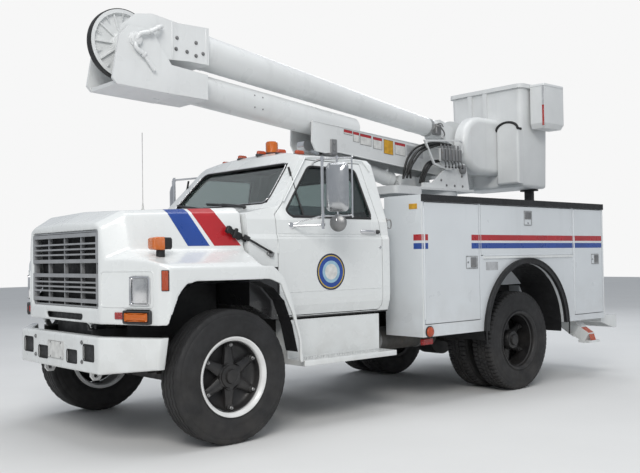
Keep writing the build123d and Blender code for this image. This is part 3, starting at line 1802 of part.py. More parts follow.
# Two upright ribs on the tub's front, and a leg room bulging forward at each side, arched at its head
rib_width = 62
rib_centre = 112
rib_proud = 22
ribs = [
    block(
        (bucket_front - 15, bucket_front + rib_proud),
        (side * rib_centre - rib_width / 2, side * rib_centre + rib_width / 2),
        (bucket_bottom + 150, bucket_top - 46),
    )
    for side in (1, -1)
]
leg_room_proud = 58
leg_room_width = 312
leg_room_shoulder = 2870
leg_room_head = 2962
leg_rooms = []
for side in (1, -1):
    middle = bucket_middle + side * (bucket_width / 2 - leg_room_width / 2 - 8)
    with BuildPart() as leg_room:
        with BuildSketch(Plane.YZ.offset(at(bucket_front - 30))):
            with BuildLine():
                half_wide = leg_room_width / 2
                foot_z = bucket_bottom + bucket_round + 4
                walls = Polyline(
                    (middle + half_wide, leg_room_shoulder),
                    (middle + half_wide, foot_z),
                    (middle - half_wide, foot_z),
                    (middle - half_wide, leg_room_shoulder),
                )
                ThreePointArc(walls @ 1, (middle, leg_room_head), walls @ 0)
            make_face()
        extrude(amount=leg_room_proud + 30)
        fillet(leg_room.faces().sort_by(Axis.X)[-1].edges(), 26)
    leg_rooms.append(leg_room.part)
bucket = cut(
    fused(bucket_shell, lip.part, *cheeks, tip_pin, *ribs, *leg_rooms),
    bucket_form(bucket_wall, bucket_bottom + bucket_wall, bucket_top + 1),
)
keep(bucket, "bucket")

# The tool box hangs beside the lip, its foot drawn in on the three free sides
tool_box_x = (-5090, -4690)
tool_box_y = (bucket_left + bucket_lip + seat_gap, bucket_left + bucket_lip + 190)
tool_box_z = (2872, 2930, 3384)
tool_box_draw = 26
with BuildPart() as tool_box:
    for z, drawn in zip(tool_box_z, (tool_box_draw, 0, 0)):
        with BuildSketch(Plane.XY.offset(z)):
            with BuildLine():
                Polyline(
                    (at(tool_box_x[0] + drawn), tool_box_y[0]),
                    (at(tool_box_x[1] - drawn), tool_box_y[0]),
                    (at(tool_box_x[1] - drawn), tool_box_y[1] - drawn),
                    (at(tool_box_x[0] + drawn), tool_box_y[1] - drawn),
                    close=True,
                )
            make_face()
    loft(ruled=True)
keep(tool_box.part, "tool_box")

# Outriggers: a sloping housing on each side of the frame with a leg that slides out

housing = cut(
    outrigger_beam(outrigger_box, housing_in, housing_out),
    outrigger_beam(outrigger_box - 2 * outrigger_wall, housing_in + 12, housing_out + 10),
)
bracket_block = block(
    (outrigger_x - 60, outrigger_x + 60), (rail_y + seat_gap, 600), (rail_bottom + 20, rail_bottom + 200)
)
left_housing = fused(housing, cut(bracket_block, outrigger_beam(outrigger_box - 2, housing_in, housing_out)))
left_housing = cut(left_housing, block((-6000, 0), (0, rail_y + seat_gap), (0, 2000)))
with BuildPart() as outrigger_housings:
    add(left_housing)
    mirror(about=Plane.XZ)
keep(outrigger_housings.part, "outrigger_housings")
left_leg = fused(
    outrigger_beam(outrigger_leg, housing_in + 40, leg_out),
    block((outrigger_x - 110, outrigger_x + 110), (1150, 1290), (400, 424)),
)
keep(left_leg, "left_outrigger")
keep(mirrored(left_leg), "right_outrigger")
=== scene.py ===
import bpy
import bmesh
from math import copysign, cos, degrees, exp, hypot, pi, radians, sin, sqrt
from mathutils import Vector, Matrix
from mathutils.bvhtree import BVHTree


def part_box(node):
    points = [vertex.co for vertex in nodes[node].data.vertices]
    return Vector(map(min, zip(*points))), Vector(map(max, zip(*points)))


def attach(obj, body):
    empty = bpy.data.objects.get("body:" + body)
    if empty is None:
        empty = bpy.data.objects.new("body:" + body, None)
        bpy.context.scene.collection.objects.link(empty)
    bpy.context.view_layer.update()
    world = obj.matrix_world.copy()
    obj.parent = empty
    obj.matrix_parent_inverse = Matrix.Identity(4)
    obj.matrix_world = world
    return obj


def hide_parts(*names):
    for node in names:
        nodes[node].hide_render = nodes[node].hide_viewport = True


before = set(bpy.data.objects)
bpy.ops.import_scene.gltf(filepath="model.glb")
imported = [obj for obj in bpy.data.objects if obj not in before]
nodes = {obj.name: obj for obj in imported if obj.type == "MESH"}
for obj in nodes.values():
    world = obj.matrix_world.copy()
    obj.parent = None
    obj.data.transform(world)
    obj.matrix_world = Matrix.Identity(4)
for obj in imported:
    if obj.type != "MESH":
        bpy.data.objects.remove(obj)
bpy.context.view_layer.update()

# Stations are measured forward of the front axle, in metres, as in the part's source
AXLE_X = 2.3775
REAR_AXLE = -3.655
REAR_X = AXLE_X + REAR_AXLE
TYRE_R = 0.51
RIM_HALF = 0.127                                # half the width of a tyre, and the offset of its rim's middle
BODY_SIDE, BODY_FRONT, BODY_REAR = 1.2, -2.11, -5.282
ELBOW_X, ELBOW_Z = 0.285, 3.222                 # where the two booms meet
LOWER_Z, UPPER_Z = 3.012, 3.384                 # the stowed booms' centres over the elbow
UPPER_ENDS, UPPER_RADII = (-0.42, -3.76), (0.16, 0.1)
BASE_ENDS, BASE_TOPS = (-1.7, -3.79), (2.752, 2.594)    # the upper edge of the lower boom's steel base
SLEW_X = -3.59                                  # the turret turns about this station
PIN_X, PIN_Z = -3.831, 2.374                    # the lower boom's pin in the turret
LOWER_SLOPE, UPPER_SLOPE = 0.1095, 0.132        # how the stowed booms rise forward
ARCH_X, ARCH_R, ARCH_Z = -3.745, 0.686, 0.624   # the rear wheel arches


def V(*values):
    """A vector from its values."""
    return Vector(values)


def P(x, y, z):
    """A point from its station."""
    return V(x + AXLE_X, y, z)


def link(obj):
    """Put an object in the scene."""
    bpy.context.scene.collection.objects.link(obj)
    return obj


# Camera, solved from the photograph
cam_data = bpy.data.cameras.new("camera")
camera = link(bpy.data.objects.new("camera", cam_data))
cam_data.sensor_width = 36
cam_data.lens = 851 / 640 * 36
cam_data.clip_end = 200
yaw, pitch, roll = radians(228.35), radians(1.4), radians(-0.86)
look = V(cos(pitch) * cos(yaw), cos(pitch) * sin(yaw), sin(pitch))
side = look.cross(V(0, 0, 1)).normalized()
top = side.cross(look)
right = side * cos(roll) + top * sin(roll)
up = top * cos(roll) - side * sin(roll)
turn = Matrix((right, up, -look)).transposed().to_4x4()
camera.matrix_world = Matrix.Translation(P(3.797, 6.435, 1.404)) @ turn
bpy.context.scene.camera = camera
bpy.context.scene.view_settings.view_transform = "Standard"


# Materials

def material(name):
    """A new material with its node tree, its main shader and a coordinate node."""
    m = bpy.data.materials.new(name)
    m.use_nodes = True
    nt = m.node_tree
    return m, nt, nt.nodes["Principled BSDF"], nt.nodes.new("ShaderNodeTexCoord").outputs["Object"]


def shader_node(nt, kind, values=(), links=(), operation=None):
    """A node with its socket values set and its inputs linked."""
    made = nt.nodes.new("ShaderNode" + kind)
    if operation:
        made.operation = operation
    for key, value in dict(values).items():
        made.inputs[key].default_value = value
    for key, socket in dict(links).items():
        nt.links.new(socket, made.inputs[key])
    return made


def remap(nt, value, low, high, out_low, out_high):
    """A socket's range mapped onto another."""
    return shader_node(nt, "MapRange", {"From Min": low, "From Max": high, "To Min": out_low,
        "To Max": out_high}, {"Value": value}).outputs["Result"]


def mixed(nt, fac, a, b):
    """One colour or socket over another, by a factor."""
    made = shader_node(nt, "Mix")
    made.data_type = "RGBA"
    nt.links.new(fac, made.inputs["Factor"])
    for socket, value in ((made.inputs[6], a), (made.inputs[7], b)):
        if isinstance(value, bpy.types.NodeSocket):
            nt.links.new(value, socket)
        else:
            socket.default_value = (*value, 1)
    return made.outputs[2]


def maths(nt, operation, a, b):
    """Two sockets put through a sum."""
    return shader_node(nt, "Math", (), {0: a, 1: b}, operation).outputs[0]


# Near-black painted shade for the cab shell's faces under the hood and below the doors
PAINTED_CAB_SHADE = (0.016, 0.016, 0.017)


def shader(name, colour, rough, metal=0.0, coat=0.0, vary=0.04, vary_scale=2.2, rough_vary=0.08, bump=0.0,
        bump_scale=300.0, grime=None, rust=None, streak=0.0, edge=0.0, shade_under=None):
    """A painted, moulded or cast surface with its colour, gloss and fine relief varied by noise; the cab's
    look also gets painted shade under the hood and below the doors.
    """
    m, nt, bsdf, place = material(name)
    for key, value in (("Metallic", metal), ("Coat Weight", coat), ("Coat Roughness", 0.08)):
        bsdf.inputs[key].default_value = value

    def noise(scale, detail=4.0, stretch=None):
        source = place
        if stretch:
            source = shader_node(nt, "Mapping", {"Scale": stretch}, {"Vector": place}).outputs["Vector"]
        return shader_node(nt, "TexNoise", {"Scale": scale, "Detail": detail},
            {"Vector": source}).outputs["Fac"]

    dark = [c * (1 - 2.2 * vary) for c in colour]
    light = [min(1, c * (1 + vary)) for c in colour]
    shade = mixed(nt, remap(nt, noise(vary_scale, 6), 0.35, 0.65, 0, 1), dark, light)
    roughness = remap(nt, noise(vary_scale * 3, 5), 0.3, 0.7, rough - rough_vary, rough + rough_vary)
    if streak:
        run = remap(nt, noise(1.0, 5, (9, 9, 0.7)), 0.56, 0.75, 0, streak)
        shade = mixed(nt, run, shade, [c * 0.55 for c in colour])
    if grime:
        tone, low, high, amount = grime
        height = remap(nt, shader_node(nt, "SeparateXYZ", (), {"Vector": place}).outputs["Z"], low, high, 1,
            0)
        patch = remap(nt, noise(7, 8), 0.35, 0.7, 0.1, 1)
        shade = mixed(nt, remap(nt, maths(nt, "MULTIPLY", height, patch), 0, 1, 0, amount), shade, tone)
    if rust:
        tone, threshold, scale = rust
        shade = mixed(nt, remap(nt, noise(scale, 8), threshold, threshold + 0.06, 0, 1), shade, tone)
    # Painted shade: near-black on faces ahead of a station and below a height (under the hood), and on every
    # face below a lower height (below the doors)
    if shade_under:
        from_x, to_z, bottom = shade_under
        split = shader_node(nt, "SeparateXYZ", (), {"Vector": place}).outputs
        ahead = remap(nt, split["X"], from_x, from_x + 0.002, 0, 1)
        below = remap(nt, split["Z"], to_z, to_z + 0.002, 1, 0)
        lowest = remap(nt, split["Z"], bottom, bottom + 0.002, 1, 0)
        shade = mixed(nt, maths(nt, "MAXIMUM", maths(nt, "MULTIPLY", ahead, below), lowest), shade, PAINTED_CAB_SHADE)
    nt.links.new(shade, bsdf.inputs["Base Color"])
    nt.links.new(roughness, bsdf.inputs["Roughness"])
    if bump:
        relief = shader_node(nt, "Bump", {"Strength": bump, "Distance": 0.001},
            {"Height": noise(bump_scale, 3)})
        nt.links.new(relief.outputs["Normal"], bsdf.inputs["Normal"])
        if edge:
            softer = shader_node(nt, "Bevel", {"Radius": edge})
            softer.samples = 4
            nt.links.new(softer.outputs["Normal"], relief.inputs["Normal"])
    return m


def clear(name, colour, rough):
    """Glass or a clear lens, with faint dust in its gloss."""
    m, nt, bsdf, place = material(name)
    for key, value in (("Base Color", (*colour, 1)), ("IOR", 1.5), ("Transmission Weight", 1.0)):
        bsdf.inputs[key].default_value = value
    dust = shader_node(nt, "TexNoise", {"Scale": 6}, {"Vector": place}).outputs["Fac"]
    nt.links.new(remap(nt, dust, 0.35, 0.75, rough, rough + 0.06), bsdf.inputs["Roughness"])
    return m


def lens(name, colour, rib_scale=120.0):
    """A moulded lamp lens with fine ribs."""
    m = shader(name, colour, 0.12, coat=0.6, vary=0.08, rough_vary=0.04)
    nt = m.node_tree
    bsdf = nt.nodes["Principled BSDF"]
    bsdf.inputs["Transmission Weight"].default_value = 0.12
    place = nt.nodes.new("ShaderNodeTexCoord").outputs["Object"]
    wave = shader_node(nt, "TexWave", {"Scale": rib_scale}, {"Vector": place})
    wave.bands_direction = "Z"
    relief = shader_node(nt, "Bump", {"Strength": 0.6, "Distance": 0.002}, {"Height": wave.outputs["Fac"]})
    nt.links.new(relief.outputs["Normal"], bsdf.inputs["Normal"])
    return m


DUST = (0.3, 0.27, 0.23)
M = {}
M["white"] = shader("white_paint", (0.76, 0.78, 0.775), 0.26, coat=0.5, vary=0.018, vary_scale=1.4, bump=0.05,
    edge=0.006, bump_scale=180, grime=(DUST, 0.5, 1.15, 0.22), streak=0.08)
# The cab's paint, with painted shade under the hood and below the doors
M["cab"] = shader("cab_paint_painted_shade", (0.76, 0.78, 0.775), 0.26, coat=0.5, vary=0.018, vary_scale=1.4, bump=0.05,
    edge=0.006, bump_scale=180, grime=(DUST, 0.5, 1.15, 0.22), streak=0.08, shade_under=(AXLE_X - 0.6, 1.33, 0.912))
M["body"] = shader("body_paint", (0.68, 0.71, 0.73), 0.34, coat=0.3, vary=0.025, vary_scale=1.1, bump=0.07,
    edge=0.003, bump_scale=120, grime=(DUST, 0.55, 1.2, 0.25), streak=0.1)
M["boom"] = shader("boom_paint", (0.71, 0.725, 0.725), 0.32, coat=0.3, vary=0.03, vary_scale=1.6, bump=0.06,
    edge=0.003, bump_scale=140, streak=0.16)
M["gelcoat"] = shader("bucket_gelcoat", (0.7, 0.715, 0.715), 0.36, coat=0.2, vary=0.03, vary_scale=2.5,
    bump=0.1, edge=0.005, bump_scale=90, streak=0.12)
M["black"] = shader("chassis_black", (0.018, 0.018, 0.019), 0.5, vary=0.12, vary_scale=5, rough_vary=0.14,
    bump=0.25, bump_scale=160, grime=((0.1, 0.085, 0.07), 0.2, 1.0, 0.5), rust=((0.09, 0.035, 0.018), 0.7, 9))
M["iron"] = shader("cast_iron", (0.07, 0.07, 0.068), 0.62, metal=0.3, vary=0.14, vary_scale=8,
    rough_vary=0.14, bump=0.5, bump_scale=220, grime=((0.12, 0.1, 0.08), 0.3, 1.2, 0.5),
    rust=((0.14, 0.06, 0.03), 0.64, 7))
M["steel"] = shader("dull_steel", (0.3, 0.3, 0.3), 0.42, metal=0.85, vary=0.1, vary_scale=6, rough_vary=0.12,
    bump=0.15, bump_scale=200, rust=((0.18, 0.08, 0.04), 0.68, 12))
M["bright"] = shader("polished_steel", (0.52, 0.53, 0.54), 0.22, metal=1.0, vary=0.02, vary_scale=9,
    rough_vary=0.04, bump=0.05, bump_scale=300)
M["chrome"] = shader("chrome", (0.72, 0.72, 0.73), 0.1, metal=1.0, vary=0.02, vary_scale=10, rough_vary=0.04,
    bump=0.02, bump_scale=300)
M["rimwhite"] = shader("rim_white", (0.78, 0.78, 0.77), 0.32, coat=0.3, vary=0.03, vary_scale=8, bump=0.08,
    grime=(DUST, 0.0, 1.2, 0.12), rust=((0.22, 0.11, 0.06), 0.73, 14))
M["hub"] = shader("hub_black", (0.014, 0.014, 0.015), 0.42, vary=0.16, vary_scale=14, rough_vary=0.14,
    bump=0.45, bump_scale=260, grime=((0.08, 0.07, 0.06), 0.1, 0.9, 0.35))
M["tyre"] = shader("tyre_rubber", (0.016, 0.016, 0.017), 0.74, vary=0.16, vary_scale=5, rough_vary=0.1,
    bump=0.35, bump_scale=320, grime=((0.11, 0.1, 0.09), 0.0, 0.9, 0.3))
M["rubber"] = shader("black_rubber", (0.014, 0.014, 0.015), 0.55, vary=0.12, vary_scale=9, rough_vary=0.12,
    bump=0.3, bump_scale=260)
M["plastic"] = shader("dark_plastic", (0.035, 0.036, 0.038), 0.55, vary=0.08, vary_scale=7, bump=0.4,
    bump_scale=600)
M["grille"] = shader("grille_grey", (0.36, 0.37, 0.38), 0.36, metal=0.35, vary=0.05, vary_scale=8, bump=0.15,
    bump_scale=240, edge=0.002, grime=(DUST, 0.9, 1.7, 0.25))
M["interior"] = shader("interior_grey", (0.055, 0.058, 0.065), 0.6, vary=0.06, vary_scale=6, bump=0.5,
    bump_scale=500)
M["vinyl"] = shader("seat_vinyl", (0.075, 0.082, 0.095), 0.48, vary=0.07, vary_scale=5, bump=0.6,
    bump_scale=420)
M["red"] = shader("red_stripe", (0.42, 0.012, 0.018), 0.32, coat=0.35, vary=0.05, vary_scale=4, bump=0.06,
    bump_scale=150)
M["blue"] = shader("blue_stripe", (0.013, 0.06, 0.3), 0.32, coat=0.35, vary=0.05, vary_scale=4, bump=0.06,
    bump_scale=150)
M["navy"] = shader("navy_print", (0.012, 0.016, 0.06), 0.35, coat=0.2, vary=0.08, vary_scale=14)
M["gold"] = shader("gold_print", (0.55, 0.4, 0.07), 0.35, coat=0.2, vary=0.08, vary_scale=14)
M["sky"] = shader("sky_print", (0.32, 0.5, 0.62), 0.35, coat=0.2, vary=0.08, vary_scale=14)
M["amber"] = lens("amber_lens", (0.78, 0.17, 0.005))
M["amberdeep"] = lens("amber_marker", (0.6, 0.07, 0.004), rib_scale=200)
M["redlens"] = lens("red_lens", (0.45, 0.008, 0.006), rib_scale=160)
M["reflector"] = shader("lamp_reflector", (0.75, 0.75, 0.76), 0.14, metal=1.0, vary=0.04, rough_vary=0.05)
M["plate"] = shader("bare_plate", (0.55, 0.56, 0.57), 0.45, metal=0.4, vary=0.08, vary_scale=16, bump=0.12,
    bump_scale=300)
M["labelwhite"] = shader("blank_label", (0.66, 0.66, 0.64), 0.5, vary=0.07, vary_scale=22, bump=0.08,
    bump_scale=200)
M["labelamber"] = shader("blank_amber_label", (0.62, 0.33, 0.02), 0.5, vary=0.1, vary_scale=22, bump=0.08,
    bump_scale=200)
M["galv"] = shader("galvanised", (0.46, 0.47, 0.47), 0.46, metal=0.7, vary=0.12, vary_scale=30,
    rough_vary=0.12, bump=0.15, bump_scale=120)
M["hose"] = shader("hydraulic_hose", (0.016, 0.016, 0.016), 0.45, vary=0.1, vary_scale=20, bump=0.4,
    bump_scale=400)
M["glass"] = clear("window_glass", (0.5, 0.57, 0.56), 0.0)
M["darkglass"] = clear("door_glass", (0.26, 0.31, 0.31), 0.0)
M["clearlens"] = clear("headlamp_glass", (0.95, 0.96, 0.96), 0.02)
M["mirrorface"] = shader("mirror_face", (0.82, 0.83, 0.84), 0.04, metal=1.0, vary=0.01, rough_vary=0.015)
CAD_LOOK = {"cab": "cab_shell",
    "white": "hood left_door right_door cab_steps front_bumper rear_step outrigger_housings left_outrigger "
    "right_outrigger",
    "body": "service_body left_front_bin_door left_middle_bin_door left_rear_bin_door right_front_bin_door "
    "right_middle_bin_door right_rear_bin_door",
    "boom": "turret pedestal lower_boom elbow_sheave upper_boom lift_cylinder_barrel",
    "gelcoat": "bucket tool_box",
    "black": "frame_rails front_axle rear_axle front_springs rear_springs gearbox_and_propshaft radiator "
    "left_knuckle right_knuckle", "iron": "engine_block exhaust", "steel": "fuel_tank",
    "rimwhite": "tow_eyes", "hub": "left_front_wheel right_front_wheel left_rear_wheels right_rear_wheels",
    "tyre": "left_front_tyre right_front_tyre left_rear_tyres right_rear_tyres", "rubber": "body_trim",
    "grille": "grille", "interior": "dashboard_and_steering_wheel seat_box", "vinyl": "bench_seat",
    "amber": "roof_lamps front_lamps", "bright": "left_mirror right_mirror", "chrome": "lift_cylinder_rod",
    "glass": "cab_glass", "darkglass": "left_door_glass right_door_glass",}
for look_name, names in CAD_LOOK.items():
    for node_name in names.split():
        slots = nodes[node_name].data.materials
        if len(slots):
            for i in range(len(slots)):
                slots[i] = M[look_name]
        else:
            slots.append(M[look_name])


# Piece makers: every mesh is built in place, so each object stays at the origin

def piece(name, mesh, body, look, smooth=32, bevel=0.0, stands_for=()):
    """Link a mesh as a piece of the object that rides on a body."""
    obj = link(bpy.data.objects.new(name, mesh))
    mesh.materials.append(M[look])
    if smooth:
        for face in mesh.polygons:
            face.use_smooth = True
        mesh.set_sharp_from_angle(angle=radians(smooth))
    if bevel:
        b = obj.modifiers.new("edge", "BEVEL")
        b.width = bevel
        b.segments = 2
        b.limit_method = "ANGLE"
        b.angle_limit = radians(35)
    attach(obj, body)
    if stands_for:
        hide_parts(*stands_for)
    return obj


def raw(name, verts, faces):
    """A mesh from its points and faces."""
    mesh = bpy.data.meshes.new(name)
    mesh.from_pydata([tuple(v) for v in verts], [], faces)
    mesh.update()
    return mesh


def joined(name, meshes):
    """Several (vertices, faces) groups as one mesh."""
    verts, faces = [], []
    for vs, fs in meshes:
        start = len(verts)
        verts += list(vs)
        faces += [[i + start for i in f] for f in fs]
    return raw(name, verts, faces)


def grid(rows, count, loop_rows=False, loop_count=False):
    """The faces between neighbouring rows that hold count points each."""
    faces = []
    for i in range(rows if loop_rows else rows - 1):
        j = (i + 1) % rows
        for k in range(count if loop_count else count - 1):
            m = (k + 1) % count
            faces.append((i * count + k, i * count + m, j * count + m, j * count + k))
    return faces


def lathe(profile, origin, axis=(0, 1, 0), steps=64, closed=False):
    """A profile of (radius, distance along the axis) turned about an axis through origin."""
    a = Vector(axis).normalized()
    u = a.orthogonal().normalized() if abs(a.y) < 0.99 else V(1, 0, 0)
    w = a.cross(u)
    vs = []
    count = len(profile)
    for i in range(steps):
        t = 2 * pi * i / steps
        d = u * cos(t) + w * sin(t)
        for r, h in profile:
            vs.append(origin + d * r + a * h)
    return vs, [(a, d, c, b) for a, b, c, d in grid(steps, count, True, closed)]


def capped(profile, origin, axis=(0, 1, 0), steps=32):
    """A turned solid whose two ends close on the axis."""
    vs, fs = lathe(profile, origin, axis, steps)
    count = len(profile)
    fs.append([i * count for i in range(steps)])
    fs.append([i * count + count - 1 for i in reversed(range(steps))])
    return vs, fs


def bolt(centre, axis, radius, height, washer=True):
    """A hexagon bolt head on a washer."""
    a = Vector(axis).normalized()
    groups = []
    foot = Vector(centre)
    if washer:
        groups.append(capped([(radius * 1.45, 0), (radius * 1.45, height * 0.22)], foot, a, 20))
        foot = foot + a * height * 0.22
    groups.append(capped([(radius, 0), (radius, height * 0.7), (radius * 0.82, height * 0.85)], foot, a, 6))
    return groups


def pipe_mesh(points, radius, steps=12, curve=6, closed=False):
    """A round tube through points, its corners eased by Catmull-Rom segments."""
    pts = [Vector(p) for p in points]
    path = []
    n = len(pts)
    if curve and n > 2:
        last = n if closed else n - 1
        for i in range(last):
            p0 = pts[(i - 1) % n] if closed or i else pts[0] * 2 - pts[1]
            p1 = pts[i]
            p2 = pts[(i + 1) % n]
            p3 = pts[(i + 2) % n] if closed or i + 2 < n else pts[-1] * 2 - pts[-2]
            for k in range(curve):
                t = k / curve
                path.append(0.5 * ((2 * p1) + (p2 - p0) * t + (2 * p0 - 5 * p1 + 4 * p2 - p3) * t * t
                    + (3 * p1 - p0 - 3 * p2 + p3) * t ** 3))
        if not closed:
            path.append(pts[-1])
    else:
        path = pts
    vs = []
    count = len(path)
    normal = None
    for i, p in enumerate(path):
        ahead = path[(i + 1) % count] if closed or i + 1 < count else path[i]
        behind = path[i - 1] if closed or i else path[0]
        d = (ahead - behind).normalized()
        if normal is None:
            normal = d.orthogonal().normalized()
        normal = (normal - d * normal.dot(d)).normalized()
        w = d.cross(normal)
        for k in range(steps):
            t = 2 * pi * k / steps
            vs.append(p + (normal * cos(t) + w * sin(t)) * radius)
    fs = grid(count, steps, closed, True)
    if not closed:
        fs.append(list(reversed(range(steps))))
        fs.append([(count - 1) * steps + k for k in range(steps)])
    return vs, fs


trees = {}


def tree_of(mesh):
    """A mesh as a tree that rays can be cast at."""
    return BVHTree.FromPolygons([v.co for v in mesh.vertices], [p.vertices[:] for p in mesh.polygons])


def dressed(node, mesh, body, look, smooth):
    """A mesh that stands for a CAD node, and on which thin pieces are laid from now on."""
    trees[node] = tree_of(mesh)
    return piece(f"{node}_skin", mesh, body, look, smooth=smooth, stands_for=(node,))


def softened(node, body, look, width, middle, low=9, high=80, longer=0.1, segments=3, shape=None):
    """A CAD shell with its long outer edges rounded, which stands for the node."""
    bm = bmesh.new()
    bm.from_mesh(nodes[node].data)
    bmesh.ops.remove_doubles(bm, verts=bm.verts[:], dist=1e-5)
    bmesh.ops.dissolve_limit(bm, angle_limit=radians(0.6), verts=bm.verts[:], edges=bm.edges[:])
    chosen = []
    for e in bm.edges:
        if len(e.link_faces) != 2 or not e.is_convex or e.calc_length() < longer:
            continue
        angle = degrees(e.calc_face_angle())
        outward = e.link_faces[0].normal + e.link_faces[1].normal
        centre = (e.verts[0].co + e.verts[1].co) / 2
        if low < angle < high and outward.dot(centre - middle) > 0:
            chosen.append(e)
    bmesh.ops.bevel(bm, geom=chosen, offset=width, offset_type="OFFSET", segments=segments, profile=0.5,
        affect="EDGES", clamp_overlap=False)
    if shape:
        for v in bm.verts:
            v.co = shape(v.co)
    bmesh.ops.triangulate(bm, faces=[f for f in bm.faces if len(f.verts) > 4])
    mesh = bpy.data.meshes.new(f"{node}_skin")
    bm.to_mesh(mesh)
    bm.free()
    return dressed(node, mesh, body, look, 24)


def settled(obj):
    """The mesh that an object's modifiers make."""
    return bpy.data.meshes.new_from_object(obj.evaluated_get(bpy.context.evaluated_depsgraph_get()))


def remeshed(name, mesh, voxel):
    """A work object whose mesh is rebuilt from voxels."""
    work = link(bpy.data.objects.new(name, mesh))
    remesh = work.modifiers.new("voxels", "REMESH")
    remesh.mode = "VOXEL"
    remesh.voxel_size = voxel
    return work


def moulded(node, body, look, voxel, rounds, keep):
    """A CAD shell as a moulding with every edge rounded, which stands for the node."""
    copy = remeshed(f"{node}_work", nodes[node].data.copy(), voxel)
    ease = copy.modifiers.new("ease", "SMOOTH")
    ease.factor = 0.5
    ease.iterations = rounds
    fewer = copy.modifiers.new("fewer", "DECIMATE")
    fewer.ratio = keep
    mesh = settled(copy)
    bpy.data.objects.remove(copy, do_unlink=True)
    mesh.materials.clear()
    return dressed(node, mesh, body, look, 40)


def surface(node):
    """A CAD node's surface, for laying thin pieces on it."""
    if node not in trees:
        trees[node] = tree_of(nodes[node].data)
    return trees[node]


def laid(outline, node, towards, proud=0.0008, cell=0.02):
    """A thin sheet with a flat outline, dropped along a direction onto a CAD node."""
    way = Vector(towards).normalized()
    flat = bmesh.new()
    ring = [flat.verts.new(Vector(p)) for p in outline]
    flat.faces.new(ring)
    low = [min(v.co[i] for v in flat.verts) for i in range(3)]
    high = [max(v.co[i] for v in flat.verts) for i in range(3)]
    for i in range(3):
        if abs(way[i]) > 0.9:
            continue
        normal = Vector([1.0 if k == i else 0.0 for k in range(3)])
        steps = int((high[i] - low[i]) / cell)
        for s in range(1, steps + 1):
            at = Vector(low)
            at[i] = low[i] + s * cell
            bmesh.ops.bisect_plane(flat, geom=flat.verts[:] + flat.edges[:] + flat.faces[:], plane_co=at,
                plane_no=normal)
    tree = surface(node)
    for v in flat.verts:
        hit, normal, _, _ = tree.ray_cast(v.co, way)
        if hit is not None:
            if normal.dot(way) > 0:
                normal = -normal
            v.co = hit + normal * proud
    flat.normal_update()
    flat.verts.index_update()
    groups = [v.co.copy() for v in flat.verts], [[v.index for v in f.verts] for f in flat.faces]
    flat.free()
    return groups


# Local frames for pieces that sit on a face, and the usual ways (along it, out of it) that they lie

LEFTWARD = (-1, 0, 0), (0, 1, 0)
FORWARD = (0, 1, 0), (1, 0, 0)
REARWARD = (0, -1, 0), (-1, 0, 0)
UPWARD = (-1, 0, 0), (0, 0, 1)
UPWARD_AHEAD = (1, 0, 0), (0, 0, 1)


def facing(origin, along, out):
    """A frame whose first axis runs along a face and whose third points out of it."""
    n = Vector(out).normalized()
    u = (Vector(along) - n * Vector(along).dot(n)).normalized()
    w = n.cross(u)
    m = Matrix((u, w, n)).transposed().to_4x4()
    m.translation = Vector(origin)
    return m


def rounded(width, height, radius, steps=4, place=(0, 0)):
    """A rounded rectangle's outline."""
    out = []
    for sx, sy, start in ((1, 1, 0), (-1, 1, 90), (-1, -1, 180), (1, -1, 270)):
        for k in range(steps + 1):
            a = radians(start + 90 * k / steps)
            out.append((place[0] + sx * (width / 2 - radius) + radius * cos(a),
                place[1] + sy * (height / 2 - radius) + radius * sin(a)))
    return out


def stack(rings, low_cap=True, high_cap=True):
    """Rings of equal count joined in order, its two ends closed."""
    vs = [Vector(p) for ring in rings for p in ring]
    n = len(rings[0])
    fs = grid(len(rings), n, False, True)
    if low_cap:
        fs.append(tuple(reversed(range(n))))
    if high_cap:
        fs.append(tuple((len(rings) - 1) * n + k for k in range(n)))
    return vs, fs


def slab(frame_in, outline, steps, low_cap=True, high_cap=True):
    """An outline, or rounded()'s values for one, built up through (depth, inset) steps in a local frame."""
    if isinstance(outline, tuple):
        outline = rounded(*outline)
    cx = (max(p[0] for p in outline) + min(p[0] for p in outline)) / 2
    cy = (max(p[1] for p in outline) + min(p[1] for p in outline)) / 2
    hx = max(p[0] for p in outline) - cx
    hy = max(p[1] for p in outline) - cy
    rings = [[frame_in @ Vector((cx + (x - cx) * (1 - inset / hx), cy + (y - cy) * (1 - inset / hy), depth))
        for x, y in outline] for depth, inset in steps]
    return stack(rings, low_cap, high_cap)


def panel_bead(frame_in, outline, radius):
    """A half-round bead laid on a face along rounded()'s outline."""
    return pipe_mesh([frame_in @ V(x, y, 0) for x, y in rounded(*outline)], radius, 8, 0, True)


def draped(rows, node, proud=0.0012, across=8, along=4):
    """A thin sheet through rows of (front, back, way), each point dropped onto a CAD node."""
    tree = surface(node)
    lines = []
    for i in range(len(rows) - 1):
        a0, b0, w0 = rows[i]
        a1, b1, w1 = rows[i + 1]
        for k in range(across + (i == len(rows) - 2)):
            t = k / across
            lines.append((a0.lerp(a1, t), b0.lerp(b1, t), Vector(w0).lerp(Vector(w1), t).normalized()))
    vs = []
    for a, b, way in lines:
        for j in range(along + 1):
            p = a.lerp(b, j / along) - way * 0.15
            hit, normal, _, _ = tree.ray_cast(p, way)
            if hit is None:
                hit, normal = p + way * 0.15, -way
            vs.append(hit + (normal if normal.dot(way) < 0 else -normal) * proud)
    return vs, grid(len(lines), along + 1)


def mirror_group(group):
    """A group on the other side of the truck."""
    vs, fs = group
    return [V(v[0], -v[1], v[2]) for v in vs], [list(reversed(f)) for f in fs]


def add(name, groups, body, look, smooth=32, bevel=0.0, stands_for=()):
    """Groups joined into one piece, with the look's material."""
    return piece(name, joined(name, groups), body, look, smooth, bevel, stands_for)


